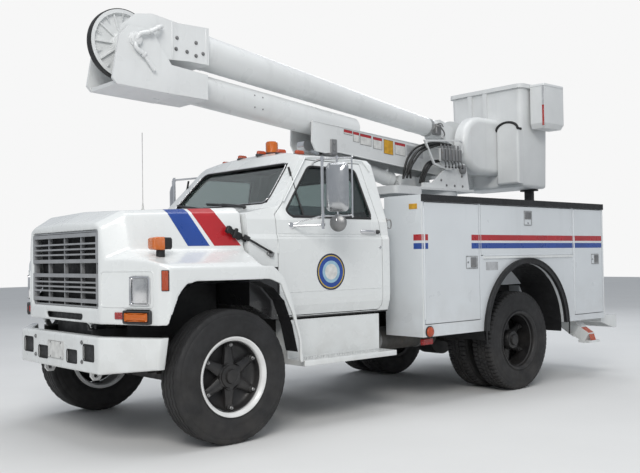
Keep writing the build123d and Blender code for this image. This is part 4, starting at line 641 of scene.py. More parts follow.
def both(name, groups, bodies, look, smooth=32, stands_for=""):
    """The same piece on the left and, mirrored, on the right. It may stand for each side's CAD node."""
    made = []
    for tag, body in zip(("left", "right"), bodies):
        chosen = groups if tag == "left" else [mirror_group(g) for g in groups]
        stands = [f"{tag}_{stands_for}"] if stands_for else ()
        made.append(add(f"{tag}_{name}", chosen, body, look, smooth, 0.0, stands))
    return made


CHASSIS = ("chassis", "chassis")
DOORS = ("left_cab_door", "right_cab_door")
HOOD = ("tilt_hood", "tilt_hood")
moulded("hood", "tilt_hood", "white", 0.011, 7, 0.35)


def bumper_end(p):
    """The bumper's wings rise and draw in towards their lower outer corners."""
    reach = max(0, (abs(p.y) - 0.69) / 0.445)
    drop = (0.842 - p.z) / 0.276
    return V(p.x, p.y - copysign(0.06 * drop * reach * reach, p.y), p.z + 0.042 * drop * reach)


softened("front_bumper", "chassis", "white", 0.02, P(0.4, 0, 0.7), low=20, high=125,
    longer=0.25, segments=4, shape=bumper_end)

# Tyres: turned carcass with ringed sidewalls, ribbed in front and lugged behind

def tyre_group(x, face, lugged):
    """One tyre whose outer sidewall lies at face."""
    middle = face - RIM_HALF
    rings = [(0.291, 0.104), (0.303, 0.112), (0.31, 0.1165), (0.316, 0.115), (0.322, 0.1195), (0.345, 0.123),
        (0.35, 0.1245), (0.356, 0.1235), (0.385, 0.1262), (0.405, 0.1268), (0.425, 0.1262), (0.43, 0.125),
        (0.434, 0.1258), (0.455, 0.1225), (0.466, 0.1195), (0.47, 0.1165), (0.475, 0.1175), (0.486, 0.115),
        (0.499, 0.1095), (0.506, 0.1035)]
    if lugged:
        tread = [(0.5085, 0.097), (0.5095, 0.075), (0.5098, 0.052), (0.4965, 0.047), (0.4965, 0.041),
            (0.5098, 0.037), (0.51, 0.012), (0.4975, 0.008), (0.4975, 0.0)]
        pitches, per = 66, 7
    else:
        tread = [(0.5085, 0.098), (0.5092, 0.072), (0.499, 0.069), (0.499, 0.062), (0.5097, 0.059),
            (0.51, 0.03), (0.4995, 0.027), (0.4995, 0.02), (0.51, 0.017), (0.51, 0.0)]
        pitches, per = 44, 4
    outer = rings + tread
    profile = outer + [(r, -w) for r, w in reversed(outer[:-1])]
    steps = pitches * per
    count = len(profile)
    vs = []
    for i in range(steps):
        t = 2 * pi * i / steps
        phase = i % per
        for r, w in profile:
            edge = abs(w)
            if lugged:
                if r > 0.494 and edge > 0.05:
                    if phase in (0, 1):
                        r -= 0.013
                elif 0.006 < edge < 0.04 and r > 0.5 and phase == (3 if w > 0 else 5):
                    r -= 0.009
            else:
                if 0.49 < r < 0.505 and edge < 0.075 or r > 0.505 and 0.012 < edge < 0.08:
                    w += 0.0035 * (1 if phase < per / 2 else -1)
                if edge > 0.095 and r > 0.503 and phase == 0:
                    r -= 0.004
            vs.append(V(x + r * cos(t), middle + w, TYRE_R + r * sin(t)))
    return vs, grid(steps, count, True)


FRONT_FACE, REAR_FACE, DUAL = 1.18, 1.175, 0.332
FRONT_WHEELS = ("left_front_wheel_set", "right_front_wheel_set")
REAR_WHEELS = ("left_rear_wheel_set", "right_rear_wheel_set")
both("front_tyre_tread", [tyre_group(AXLE_X, FRONT_FACE, False)], FRONT_WHEELS, "tyre", 38,
    stands_for="front_tyre")
both("rear_tyre_tread", [tyre_group(REAR_X, face, True) for face in (REAR_FACE, REAR_FACE - DUAL)],
    REAR_WHEELS, "tyre", 38, stands_for="rear_tyres")


# Wheels: a demountable rim band on a cast six-spoke hub

def spoke(angle, r0, r1, w0, w1, y_back, y_front, origin):
    """One cast spoke, wider at the hub, with a raised spine along its face."""
    d = V(cos(angle), 0, sin(angle))
    n = V(-sin(angle), 0, cos(angle))
    rows = [(r0, w0, y_front), ((r0 + r1) / 2, (w0 + w1) / 2 * 0.86, y_front - 0.006),
        (r1, w1, y_front - 0.016)]
    return stack([[origin + d * r + n * off * w / 2 + V(0, y, 0)
        for off, y in ((-1, y_back), (-1, front - 0.014), (-0.55, front), (-0.2, front + 0.004),
        (0.2, front + 0.004), (0.55, front), (1, front - 0.014), (1, y_back))] for r, w, front in rows])


def hub_groups(x, y_back, y_front, spoke_y, rim_r, bolts, cap_r):
    """The hub barrel, its spokes, clamp lugs and end cap."""
    o = V(x, 0, TYRE_R)
    groups = [capped([(0.104, y_back), (0.106, spoke_y + 0.03), (0.098, y_front - 0.045),
        (cap_r + 0.03, y_front - 0.036), (cap_r + 0.028, y_front - 0.026), (cap_r, y_front - 0.022),
        (cap_r - 0.006, y_front - 0.004), (cap_r - 0.016, y_front)], o, (0, 1, 0), 48)]
    for i in range(6):
        angle = radians(30 + 60 * i)
        groups.append(spoke(angle, 0.085, rim_r, 0.098, 0.066, spoke_y - 0.03, spoke_y + 0.026, o))
        clamp = o + V(cos(angle), 0, sin(angle)) * (rim_r - 0.026)
        groups.append(capped([(0.03, spoke_y + 0.002), (0.028, spoke_y + 0.02), (0.022, spoke_y + 0.024)],
            clamp, (0, 1, 0), 20))
    for i in range(bolts):
        a = 2 * pi * i / bolts
        seat = o + V(cos(a), 0, sin(a)) * (cap_r + 0.013) + V(0, y_front - 0.034, 0)
        groups += bolt(seat, (0, 1, 0), 0.0072, 0.012, False)
    return groups


def nut_groups(x, spoke_y, rim_r):
    """The clamp studs and nuts."""
    groups = []
    for i in range(6):
        angle = radians(30 + 60 * i)
        c = V(x, 0, TYRE_R) + V(cos(angle), 0, sin(angle)) * (rim_r - 0.026)
        groups += bolt(c + V(0, spoke_y + 0.023, 0), (0, 1, 0), 0.0155, 0.019, False)
        groups.append(capped([(0.0085, spoke_y + 0.036), (0.0085, spoke_y + 0.047), (0.007, spoke_y + 0.049)],
            c, (0, 1, 0), 14))
    return groups


def rim_group(x, face, deep):
    """A rim band with its bead flanges and a recessed well."""
    middle = face - RIM_HALF
    a, b = middle - 0.122, middle + 0.122
    profile = [(0.262, a + 0.02), (0.274, a), (0.3, a + 0.002), (0.304, a + 0.008), (0.298, a + 0.014),
        (0.2865, a + 0.016), (0.2865, b - 0.018), (0.296, b - 0.014), (0.304, b - 0.007), (0.303, b - 0.001),
        (0.297, b), (0.29, b - 0.003), (0.284, b - 0.012), (0.276, b - 0.016), (0.272, b - 0.022),
        (0.27, b - deep), (0.262, b - deep - 0.008), (0.262, a + 0.02)]
    return lathe(profile, V(x, 0, TYRE_R), (0, 1, 0), 96, closed=True)


FRONT_SPOKE = FRONT_FACE - 0.088
REAR_SPOKE = REAR_FACE - 0.182
FRONT_HUB, REAR_HUB = V(AXLE_X, 0, TYRE_R), V(REAR_X, 0, TYRE_R)
middle = FRONT_FACE - RIM_HALF
both("front_rim_band", [rim_group(AXLE_X, FRONT_FACE, 0.075)], FRONT_WHEELS, "rimwhite", 40)
both("front_rim_lip", [lathe([(0.2965, middle + 0.1225), (0.3035, middle + 0.1215), (0.3048, middle + 0.115),
    (0.299, middle + 0.1075), (0.291, middle + 0.1195)], FRONT_HUB, steps=96, closed=True)], FRONT_WHEELS,
    "rimwhite", 50)
both("front_rim_well", [lathe([(0.2615, middle + 0.085), (0.256, middle + 0.078), (0.256, middle + 0.04),
    (0.23, middle + 0.012), (0.1, middle + 0.004)], FRONT_HUB, steps=72)], FRONT_WHEELS, "hub", 50)
both("front_hub", hub_groups(AXLE_X, FRONT_FACE - 0.205, FRONT_FACE - 0.026, FRONT_SPOKE, 0.266, 6, 0.058),
    FRONT_WHEELS, "hub", 35, stands_for="front_wheel")
both("front_wheel_nuts", nut_groups(AXLE_X, FRONT_SPOKE, 0.266), FRONT_WHEELS, "steel", 30)
both("rear_rim_band", [rim_group(REAR_X, REAR_FACE, 0.05), rim_group(REAR_X, REAR_FACE - DUAL, 0.05),
    lathe([(0.2865, REAR_FACE - 0.262), (0.2865, REAR_FACE - 0.322), (0.27, REAR_FACE - 0.322),
    (0.27, REAR_FACE - 0.262)], REAR_HUB, steps=96, closed=True)], REAR_WHEELS, "hub", 40)
both("rear_hub", hub_groups(REAR_X, REAR_FACE - DUAL - 0.12, REAR_FACE - 0.064, REAR_SPOKE, 0.268, 8, 0.06),
    REAR_WHEELS, "hub", 35, stands_for="rear_wheels")
both("rear_wheel_nuts", nut_groups(REAR_X, REAR_SPOKE, 0.268), REAR_WHEELS, "hub", 30)


# Hood: stripes over its top and down its sides

HOOD_ROWS = [(0.842, 1.69, (0.606, 1.64), (0.65, 1.392)), (0.64, 1.8, (0.69, 1.752), (0.752, 1.478)),
    (-0.272, 1.836, (0.9, 1.772), (0.952, 1.478))]


def hood_at(x):
    """The hood's crown, shoulder, crease and junction at a station."""
    first, second = (HOOD_ROWS[0], HOOD_ROWS[1]) if x > HOOD_ROWS[1][0] else (HOOD_ROWS[1], HOOD_ROWS[2])
    t = (first[0] - x) / (first[0] - second[0])
    crown = first[1] + (second[1] - first[1]) * t
    crease = Vector(first[2]).lerp(Vector(second[2]), t)
    junction = Vector(first[3]).lerp(Vector(second[3]), t)
    return crown, (crease.x - 0.07, crown - 0.018), crease, junction


def hood_stripe(top, low, centre):
    """Rows of one stripe from the left junction over the crown to the right."""
    side_rows = []
    for share in (0.0, 0.5, 0.97):
        ends = []
        for k in (0, 1):
            x = low[k] + (top[k] - low[k]) * share
            _, _, crease, junction = hood_at(x)
            flank = Vector(junction).lerp(Vector(crease), 0.1 + 0.9 * share)
            ends.append(P(x, flank.x, flank.y))
        side_rows.append((ends[0], ends[1], (0, -0.98, -0.2)))
    shoulder = []
    for k in (0, 1):
        _, edge, _, _ = hood_at(top[k])
        shoulder.append(P(top[k], edge[0], edge[1]))
    side_rows.append((shoulder[0], shoulder[1], (0, -0.25, -0.97)))
    middle = [P(centre[k], 0, hood_at(centre[k])[0]) for k in (0, 1)]
    rows = side_rows + [(middle[0], middle[1], (0, 0, -1))]
    for a, b, way in reversed(side_rows):
        rows.append((V(a.x, -a.y, a.z), V(b.x, -b.y, b.z), (way[0], -way[1], way[2])))
    return draped(rows, "hood")


add("hood_stripe_blue", [hood_stripe((0.321, 0.159), (0.192, 0.016), (0.312, 0.113))], "tilt_hood", "blue", 0)
add("hood_stripe_red", [hood_stripe((0.131, -0.057), (-0.022, -0.244), (0.083, -0.06))], "tilt_hood", "red",
    0)

# Hood furniture: corner lamps, fender lamps, side markers, the lamp pocket's bead and the latches

CORNER = facing(P(0.822, 0.626, 0), (-0.366, 0.93, 0), (0.93, 0.366, 0))


def corner(along, z, out=0.0):
    """A frame on the hood's slanted front corner."""
    return Matrix.Translation(CORNER @ V(along, z, out) - CORNER.translation) @ CORNER


LAMP = corner(0.372, 1.18)
bezels = both("headlamp_bezel", [slab(LAMP, (0.186, 0.214, 0.018),
    [(-0.004, 0), (0.009, 0.001), (0.013, 0.006), (0.013, 0.011), (0.004, 0.017), (-0.01, 0.019),
    (-0.01, 0.026), (-0.03, 0.03)], True, False)], HOOD, "chrome", 40)
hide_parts("front_lamps")
both("headlamp_reflector", [slab(LAMP, (0.146, 0.168, 0.016),
    [(-0.01, 0.0), (-0.018, 0.01), (-0.03, 0.024), (-0.042, 0.046), (-0.047, 0.062)], False, True)], HOOD,
    "reflector", 60)
bulb = capped([(0.011, 0.0), (0.011, 0.014), (0.008, 0.022), (0.003, 0.025)], LAMP @ V(0, 0, -0.046),
    (0.93, 0.366, 0), 16)
both("headlamp_bulb", [bulb], HOOD, "labelwhite", 50)


def fluted_glass(m, width, height, radius, crown, columns, rows):
    """A lens face with upright flutes and a slight crown."""
    nx, ny = columns * 4, rows
    vs = []
    for j in range(ny + 1):
        for i in range(nx + 1):
            u, v = i / nx * 2 - 1, j / ny * 2 - 1
            x, y = u * width / 2, v * height / 2
            over = max(abs(x) - (width / 2 - radius), 0), max(abs(y) - (height / 2 - radius), 0)
            reach = hypot(*over)
            if reach > radius:
                x = copysign(width / 2 - radius + over[0] * radius / reach, x)
                y = copysign(height / 2 - radius + over[1] * radius / reach, y)
            depth = crown * (1 - u * u) * (1 - v * v * 0.6) + 0.0012 * cos(i / 4 * 2 * pi)
            vs.append(m @ V(x, y, depth))
    return vs, grid(ny + 1, nx + 1)


both("headlamp_glass", [fluted_glass(corner(0.372, 1.18, -0.004), 0.15, 0.176, 0.012, 0.008, 12, 14)], HOOD,
    "clearlens", 60)
screws = []
for sx, sy in ((-1, -1), (1, -1), (-1, 1), (1, 1)):
    screws.append(capped([(0.004, 0), (0.004, 0.002), (0.002, 0.003)],
        LAMP @ V(sx * 0.084, sy * 0.098, 0.013), (0.93, 0.366, 0), 12))
both("headlamp_screws", screws, HOOD, "steel", 40)
TURN = corner(0.35, 0.99)
both("turn_lamp_housing", [slab(TURN, (0.258, 0.098, 0.014), [(-0.03, 0.002), (0.014, 0.0), (0.02, 0.004),
    (0.021, 0.01), (0.012, 0.014), (0.006, 0.018)], True, True)], HOOD, "plastic", 40)
both("turn_lamp_lens", [fluted_glass(corner(0.34, 0.99, 0.012), 0.212, 0.062, 0.01, 0.008, 20, 6)], HOOD,
    "amber", 50)
both("corner_reflector", [slab(corner(0.182, 0.998), (0.082, 0.05, 0.006),
    [(0.0, 0), (0.006, 0), (0.009, 0.003)], True, True)], HOOD, "redlens", 30)
both("lamp_pocket_bead", [panel_bead(corner(0.252, 1.192, 0.001), (0.486, 0.262, 0.03, 5), 0.0045)], HOOD,
    "white", 60)
SIDE_MARK = facing(P(0.59, 1.164, 1.254), (-0.67, 0.742, 0), (0.742, 0.67, 0))
both("side_marker", [slab(SIDE_MARK, (0.048, 0.14, 0.006), [(-0.012, 0), (0.01, 0), (0.015, 0.005)])], HOOD,
    "amberdeep", 30)
both("side_marker_base", [slab(SIDE_MARK, (0.058, 0.15, 0.007), [(-0.014, 0), (0.003, 0), (0.004, 0.002)])],
    HOOD, "rubber", 30)

FENDER_TOP = 1.43
lamp_body = [slab(facing(P(0.452, 0.95, 1.524), (0, 1, 0), (-1, 0, 0)), (0.098, 0.092, 0.014),
    [(-0.04, 0), (0.02, 0.002), (0.03, 0.01), (0.034, 0.022)])]
lamp_body.append(stack([[P(0.498 + 0.034 * cos(a), 0.95 + 0.028 * sin(a), z)
    for a in [2 * pi * k / 20 for k in range(20)]] for z in (FENDER_TOP - 0.012, 1.452, 1.482)]))
both("fender_lamp_body", lamp_body, HOOD, "rubber", 40)
both("fender_lamp_lens", [slab(facing(P(0.492, 0.95, 1.524), *FORWARD), (0.104, 0.098, 0.016),
    [(0.0, 0.0), (0.06, 0.001), (0.08, 0.006), (0.09, 0.014), (0.093, 0.024)])], HOOD, "amber", 40)

strap_a, strap_c = P(-0.137, 0.936, 1.628), P(-0.495, 1.006, 1.44)
strap_way = (strap_c - strap_a).normalized()
strap_m = facing(strap_a, strap_way, (0, 1, 0.1))
latch_groups = [slab(strap_m, [(0, -0.02), (0.06, -0.026), (0.11, -0.03), (0.125, -0.012), (0.385, -0.009),
    (0.4, -0.016), (0.425, -0.014), (0.425, 0.014), (0.4, 0.016), (0.385, 0.009), (0.125, 0.012),
    (0.11, 0.03), (0.06, 0.026), (0, 0.02)], [(-0.006, 0), (0.01, 0), (0.013, 0.003)]),
    slab(strap_m, (0.03, 0.085, 0.01, 4, (0.05, 0)), [(0.008, 0), (0.024, 0.002), (0.028, 0.008)]),
    slab(strap_m, (0.045, 0.06, 0.014, 4, (-0.012, 0)), [(-0.006, 0), (0.018, 0.002), (0.022, 0.006)])]
both("hood_latch_strap", latch_groups, HOOD, "rubber", 40)
both("hood_latch_hook", [slab(facing(strap_c, strap_way, (0, 1, 0)), (0.06, 0.044, 0.006),
    [(-0.014, 0), (0.006, 0), (0.008, 0.002)])], CHASSIS, "steel", 30)


# Cab: gaskets, window frames, wipers, handles, roundel, lamps, mirrors and steps

def side_y(z):
    """The cab side's outer face at a height."""
    rows = [(0.901, 0.952), (1.005, 0.986), (1.06, 0.992), (1.56, 0.992), (1.6, 0.976), (1.72, 0.964),
        (2.266, 0.766)]
    for (z0, y0), (z1, y1) in zip(rows, rows[1:]):
        if z <= z1:
            return y0 + (y1 - y0) * (z - z0) / (z1 - z0)
    return rows[-1][1]


def eased(points, radius, steps=5):
    """A closed outline of flat points with its corners rounded."""
    out = []
    n = len(points)
    for i in range(n):
        p = Vector(points[i])
        a, b = Vector(points[i - 1]) - p, Vector(points[(i + 1) % n]) - p
        r = min(radius, a.length * 0.45, b.length * 0.45)
        start, end = p + a.normalized() * r, p + b.normalized() * r
        for k in range(steps + 1):
            t = k / steps
            out.append((start * (1 - t) + p * t) * (1 - t) + (p * (1 - t) + end * t) * t)
    return out


def screen_x(z):
    """The windshield's plane at a height."""
    return -0.64 - (z - 1.838) * 0.39 / 0.452


screen_out = V(0.757, 0, 0.653)
ring = eased([V(-0.735, 1.876), V(-0.648, 2.24), V(0.648, 2.24), V(0.735, 1.876)], 0.07)
add("windshield_gasket", [pipe_mesh([P(screen_x(q.y), q.x, q.y) - screen_out * 0.003 for q in ring], 0.0125,
    8, 0, True)], "chassis", "rubber", 60)
add("windshield_bright_strip", [pipe_mesh([P(screen_x(q.y), q.x, q.y) + screen_out * 0.009 for q in ring],
    0.003, 6, 0, True)], "chassis", "chrome", 60)
ring = eased([V(-0.54, 1.77), V(-0.54, 2.15), V(0.54, 2.15), V(0.54, 1.77)], 0.06)
add("rear_window_gasket", [pipe_mesh([P(-1.902, q.x, q.y) for q in ring], 0.012, 8, 0, True)], "chassis",
    "rubber", 60)
pane = [Vector(q) for q in ((-0.716, 1.8), (-1.096, 2.206), (-1.66, 2.206), (-1.712, 1.752), (-0.76, 1.752))]
both("door_window_gasket", [pipe_mesh([P(q.x, side_y(q.y) - 0.004, q.y) for q in eased(pane, 0.05)], 0.011, 8,
    0, True)], DOORS, "rubber", 60)
both("vent_window_divider", [pipe_mesh([P(-0.905, side_y(1.758) - 0.008, 1.758),
    P(-0.88, side_y(2.0) - 0.008, 2.0), P(-0.876, side_y(2.19) - 0.008, 2.185)], 0.01, 8, 0)], DOORS,
    "rubber", 60)
both("door_belt_seal", [slab(facing(P(-1.236, side_y(1.748) + 0.001, 1.748), (-1, 0, 0), (0, 1, 0.2)),
    (0.93, 0.016, 0.006), [(-0.01, 0), (0.004, 0), (0.006, 0.003)])], DOORS, "rubber", 30)

# Door skins: the pressed lines that stand out of them, and a drip rail over each door
both("door_pressed_lines", [pipe_mesh([P(-0.6, side_y(z), z), P(x, side_y(z), z)], 0.0028, 8, 0)
    for z, x in ((1.606, -1.788), (1.584, -1.79), (1.118, -1.79))], DOORS, "white", 60)
both("drip_rail", [pipe_mesh([P(-0.7, 0.925, 1.876), P(-1.04, 0.79, 2.245), P(-1.08, 0.768, 2.28),
    P(-1.24, 0.762, 2.296), P(-1.72, 0.762, 2.296), P(-1.79, 0.766, 2.286), P(-1.845, 0.8, 2.2)], 0.007, 8,
    6)], CHASSIS, "white", 60)

handle = facing(P(-1.645, 0.976, 1.628), *LEFTWARD)
both("door_handle", [slab(handle, (0.2, 0.034, 0.014), [(-0.004, 0), (0.006, 0), (0.009, 0.003)]),
    stack([[handle @ V(x, y * 0.011, 0.02 + dome + 0.006 * sin(a))
    for a, y in [(2 * pi * k / 12, cos(2 * pi * k / 12)) for k in range(12)]]
    for x, dome in ((-0.092, -0.01), (-0.07, 0.004), (-0.03, 0.01), (0.03, 0.01), (0.066, 0.004),
    (0.078, -0.006))])], DOORS, "chrome", 50)
button = capped([(0.019, -0.004), (0.019, 0.01), (0.015, 0.024), (0.01, 0.027)], handle @ V(0.112, 0, 0),
    (0, 1, 0), 24)
both("door_handle_button", [button], DOORS, "plastic", 50)
both("door_lock", [capped([(0.014, -0.002), (0.013, 0.004), (0.01, 0.006), (0.006, 0.006), (0.005, 0.004)],
    P(-1.777, 0.992, 1.487), (0, 1, 0), 24)], DOORS, "bright", 50)
both("cab_corner_hook", [pipe_mesh([P(-1.905, 0.955, 1.735), P(-1.93, 0.975, 1.742), P(-1.938, 0.982, 1.7),
    P(-1.928, 0.978, 1.662), P(-1.903, 0.955, 1.672)], 0.006, 8, 5),
    slab(facing(P(-1.899, 0.95, 1.7), (0, 1, 0), (-1, 0, 0)), (0.03, 0.11, 0.008),
    [(-0.002, 0), (0.006, 0), (0.008, 0.003)])], CHASSIS, "steel", 50)


def wiper(pivot_y, tip_y, lift):
    """An arm with its spring cover and a blade that lies along the glass."""
    foot = P(screen_x(1.85) + 0.006, pivot_y, 1.846)
    tip = P(screen_x(1.88 + lift) + 0.022, tip_y, 1.88 + lift)
    way = (tip - foot).normalized()
    arm = [foot + V(0.018, 0, 0.01), foot.lerp(tip, 0.35) + V(0.03, 0, 0.016),
        foot.lerp(tip, 0.75) + V(0.026, 0, 0.014), tip + V(0.01, 0, 0.004)]
    groups = [capped([(0.017, -0.012), (0.017, 0.016), (0.01, 0.024)], foot, screen_out, 20),
        pipe_mesh(arm, 0.0055, 8, 5), slab(facing(arm[0], way, screen_out),
        (0.13, 0.022, 0.009, 4, (0.06, 0)), [(-0.006, 0), (0.008, 0.001), (0.012, 0.006)])]
    half = way * 0.25
    centre = tip - screen_out * 0.004
    groups.append(pipe_mesh([centre - half, centre - half * 0.4 + screen_out * 0.01,
        centre + screen_out * 0.014, centre + half * 0.4 + screen_out * 0.01, centre + half], 0.005, 8, 4))
    groups.append(slab(facing(centre - screen_out * 0.006, way, screen_out), (0.52, 0.012, 0.005),
        [(-0.008, 0.003), (0.002, 0), (0.006, 0)]))
    return groups


add("windshield_wipers", wiper(0.46, 0.06, 0.012) + wiper(-0.14, -0.46, 0.016), "chassis", "plastic", 50)

# Roof: clearance lamps, the beacon with its ribbed lens, and the antenna on the cowl
lamp_feet = []
lamp_lenses = []
for y in (0.0, 0.3, 0.56, -0.3, -0.56):
    roof_z = 2.392 - 0.092 * (y / 0.752) ** 2 - 0.004
    m = facing(P(-1.19, y, roof_z), (1, 0, 0), (0, -0.24 * y / 0.56 * -1, 1))
    lamp_feet.append(slab(m, (0.12, 0.056, 0.024), [(-0.012, 0), (0.006, 0), (0.01, 0.003)]))
    lamp_lenses.append(slab(m, (0.104, 0.044, 0.02), [(0.008, 0), (0.022, 0.001), (0.034, 0.004),
        (0.041, 0.012)]))
beacon = P(-1.32, 0, 2.386)
add("beacon_base", [capped([(0.074, -0.006), (0.074, 0.01), (0.069, 0.014), (0.069, 0.03), (0.062, 0.034)],
    beacon, (0, 0, 1), 48)] + lamp_feet, "chassis", "plastic", 40)
rings = []
for i in range(11):
    h = 0.032 + i * 0.009
    rings += [(0.06, h), (0.0585, h + 0.0045)]
add("beacon_lens", [capped(rings + [(0.056, 0.134), (0.046, 0.142), (0.02, 0.146)], beacon, (0, 0, 1), 56)],
    "chassis", "amber", 30, stands_for=["roof_lamps"])
add("clearance_lamps", lamp_lenses, "chassis", "amberdeep", 40)
mast = P(-0.33, -0.74, 1.86)
add("antenna", [capped([(0.022, -0.02), (0.022, 0.012), (0.012, 0.03), (0.007, 0.075), (0.0045, 0.09),
    (0.0032, 0.3), (0.0028, 0.62), (0.0035, 0.7), (0.0035, 0.76)], mast, (0, 0, 1), 16)], "chassis",
    "labelwhite", 50)

# A plain roundel of coloured rings on each door: flat ovals, each a little smaller and further out
for look_name, radius_x, radius_z, proud in (("navy", 0.164, 0.158, 0), ("gold", 0.15, 0.144, 0.0006),
        ("blue", 0.14, 0.134, 0.0012), ("sky", 0.1, 0.096, 0.0018), ("labelwhite", 0.072, 0.068, 0.0024)):
    oval = [(radius_x * cos(a), radius_z * sin(a)) for a in [2 * pi * k / 72 for k in range(72)]]
    m = facing(P(-1.165, 0.9935, 1.278) + V(0, proud, 0), *LEFTWARD)
    both(f"door_roundel_{look_name}", [slab(m, oval, [(0, 0), (0.0004, 0)])], DOORS, look_name, 0)

# Mirrors: a formed head in a bright loop, on a post, with a round one below
HEAD = V(-1.01, 1.262, 1.985)
turn_a = radians(28)      # how far the heads are turned out
m_head = facing(P(*HEAD), (-sin(turn_a), cos(turn_a), 0), (cos(turn_a), sin(turn_a), 0))
both("mirror_shell", [slab(m_head, (0.196, 0.41, 0.04, 6), [(-0.001, 0.006), (0.004, 0.0), (0.016, 0.0),
    (0.022, 0.006), (0.026, 0.012)], True, False), stack([[m_head @ V(x * s, y * t, d)
    for x, y in rounded(0.172, 0.386, 0.034, 6)] for d, s, t in ((0.026, 1.0, 1.0), (0.036, 0.92, 0.955),
    (0.0495, 0.42, 0.7))], False, True)], DOORS, "bright", 40, stands_for="mirror")
both("mirror_face", [slab(m_head, (0.186, 0.4, 0.036, 6), [(-0.004, 0.004), (0.001, 0.0)])], DOORS,
    "mirrorface", 30)
post = m_head @ V(-0.132, 0, 0.012)
arm_z, stay_z, top_z = 1.674, 1.749, 2.226
round_c = m_head @ V(0, -0.297, 0)
tubes = [pipe_mesh([V(post.x, post.y, 1.64), V(post.x, post.y, 2.25)], 0.013, 14, 0),
    pipe_mesh([P(-0.742, 0.955, 1.672), P(-0.79, 1.01, 1.668), V(post.x, post.y, arm_z)], 0.01, 12, 4),
    pipe_mesh([P(-0.742, 0.955, 1.672), P(-0.8, 1.0, 1.7), V(post.x, post.y, stay_z)], 0.007, 10, 4),
    pipe_mesh([P(-1.18, 0.745, 2.238), P(-1.08, 0.9, 2.236), V(post.x, post.y, top_z)], 0.01, 12, 4),
    pipe_mesh([m_head @ V(x, y, 0.012) for x, y in ((-0.132, 0.238), (0.112, 0.238), (0.128, 0.214),
    (0.128, -0.214), (0.112, -0.238), (-0.132, -0.238))], 0.0075, 10, 5),
    capped([(0.03, 0), (0.028, 0.01), (0.016, 0.014)], P(-0.742, 0.964, 1.672), (0.4, 1, 0), 20),
    pipe_mesh([m_head @ V(0, 0.2, 0.012), m_head @ V(0, 0.262, 0.012)], 0.009, 10, 0),
    pipe_mesh([m_head @ V(0, -0.2, 0.012), m_head @ V(0, -0.24, 0.012), m_head @ V(-0.01, -0.28, 0.026)],
    0.008, 10, 3)]
for z in (arm_z, stay_z, top_z):
    tubes.append(capped([(0.02, -0.012), (0.02, 0.012)], V(post.x, post.y, z), (0, 0, 1), 18))
both("mirror_bracket", tubes, DOORS, "chrome", 50)
both("round_mirror", [capped([(0.07, -0.004), (0.074, 0.0), (0.073, 0.008), (0.062, 0.02), (0.03, 0.029),
    (0.012, 0.031)], round_c, (cos(turn_a), sin(turn_a), 0), 48)], DOORS, "steel", 50)
both("round_mirror_face", [capped([(0.068, -0.0042), (0.05, -0.0062), (0.02, -0.0075)], round_c,
    (cos(turn_a), sin(turn_a), 0), 48)], DOORS, "mirrorface", 50)

# Steps: raised cleats on the tread, and the step's edge

def cleat(place, along, length):
    """One raised tread cleat."""
    return slab(facing(place, along, (0, 0, 1)), (length, 0.008, 0.0035, 2),
        [(0, 0), (0.0022, 0.0012), (0.003, 0.003)], False, True)


tread = [cleat(P(-0.725 - i * 0.031, y, 0.5655), (1, 0.5 if (i + j) % 2 else -0.5, 0), 0.026)
    for i in range(34) for j, y in enumerate((0.985, 1.02, 1.055, 1.09, 1.125))]
both("step_tread", tread, CHASSIS, "galv", 30)
both("step_edge", [slab(facing(P(-1.2425, 1.168, 0.543), *LEFTWARD), (1.084, 0.046, 0.004),
    [(-0.002, 0), (0.001, 0), (0.003, 0.003)])], CHASSIS, "white", 30)


# Service body: stripes, latches, hinges, drip edge, lamps and bare plates

PROUD = 0.0007      # how far a stripe stands out of the face it is on


def side_patch(x0, x1, z0, z1):
    """A thin flat strip on the body's side."""
    y = BODY_SIDE + PROUD
    return [P(x0, y, z0), P(x1, y, z0), P(x1, y, z1), P(x0, y, z1)], [(0, 1, 2, 3)]


def front_patch(y0, y1, z0, z1):
    """The same on the body's front."""
    x = BODY_FRONT + PROUD
    return [P(x, y0, z0), P(x, y1, z0), P(x, y1, z1), P(x, y0, z1)], [(0, 1, 2, 3)]


DOOR_SPANS = {"front": (-2.955, -2.15, 0.772), "middle": (-4.633, -2.992, 1.402),
    "rear": (-5.245, -4.665, 0.724)}
STRIPES = (("red", 1.546, 1.603), ("blue", 1.467, 1.522))
for tone, low, high in STRIPES:
    fixed = [front_patch(1.12, BODY_SIDE, low, high), side_patch(BODY_FRONT, -2.142, low, high),
        side_patch(-2.963, -2.984, low, high), side_patch(-4.641, -4.657, low, high)]
    both(f"body_stripe_{tone}", fixed, CHASSIS, tone, 0)
    for name, spans in (("front", ((-2.151, -2.2), (-2.84, -2.954))), ("middle", ((-2.993, -4.632),)),
            ("rear", ((-4.666, -5.244),))):
        both(f"{name}_bin_stripe_{tone}", [side_patch(a, b, low, high) for a, b in spans],
            (f"left_{name}_bin_lid", f"right_{name}_bin_lid"), tone, 0)
    both(f"corner_stripe_{tone}", [front_patch(1.1, 1.122, low, high)], CHASSIS, tone, 0)


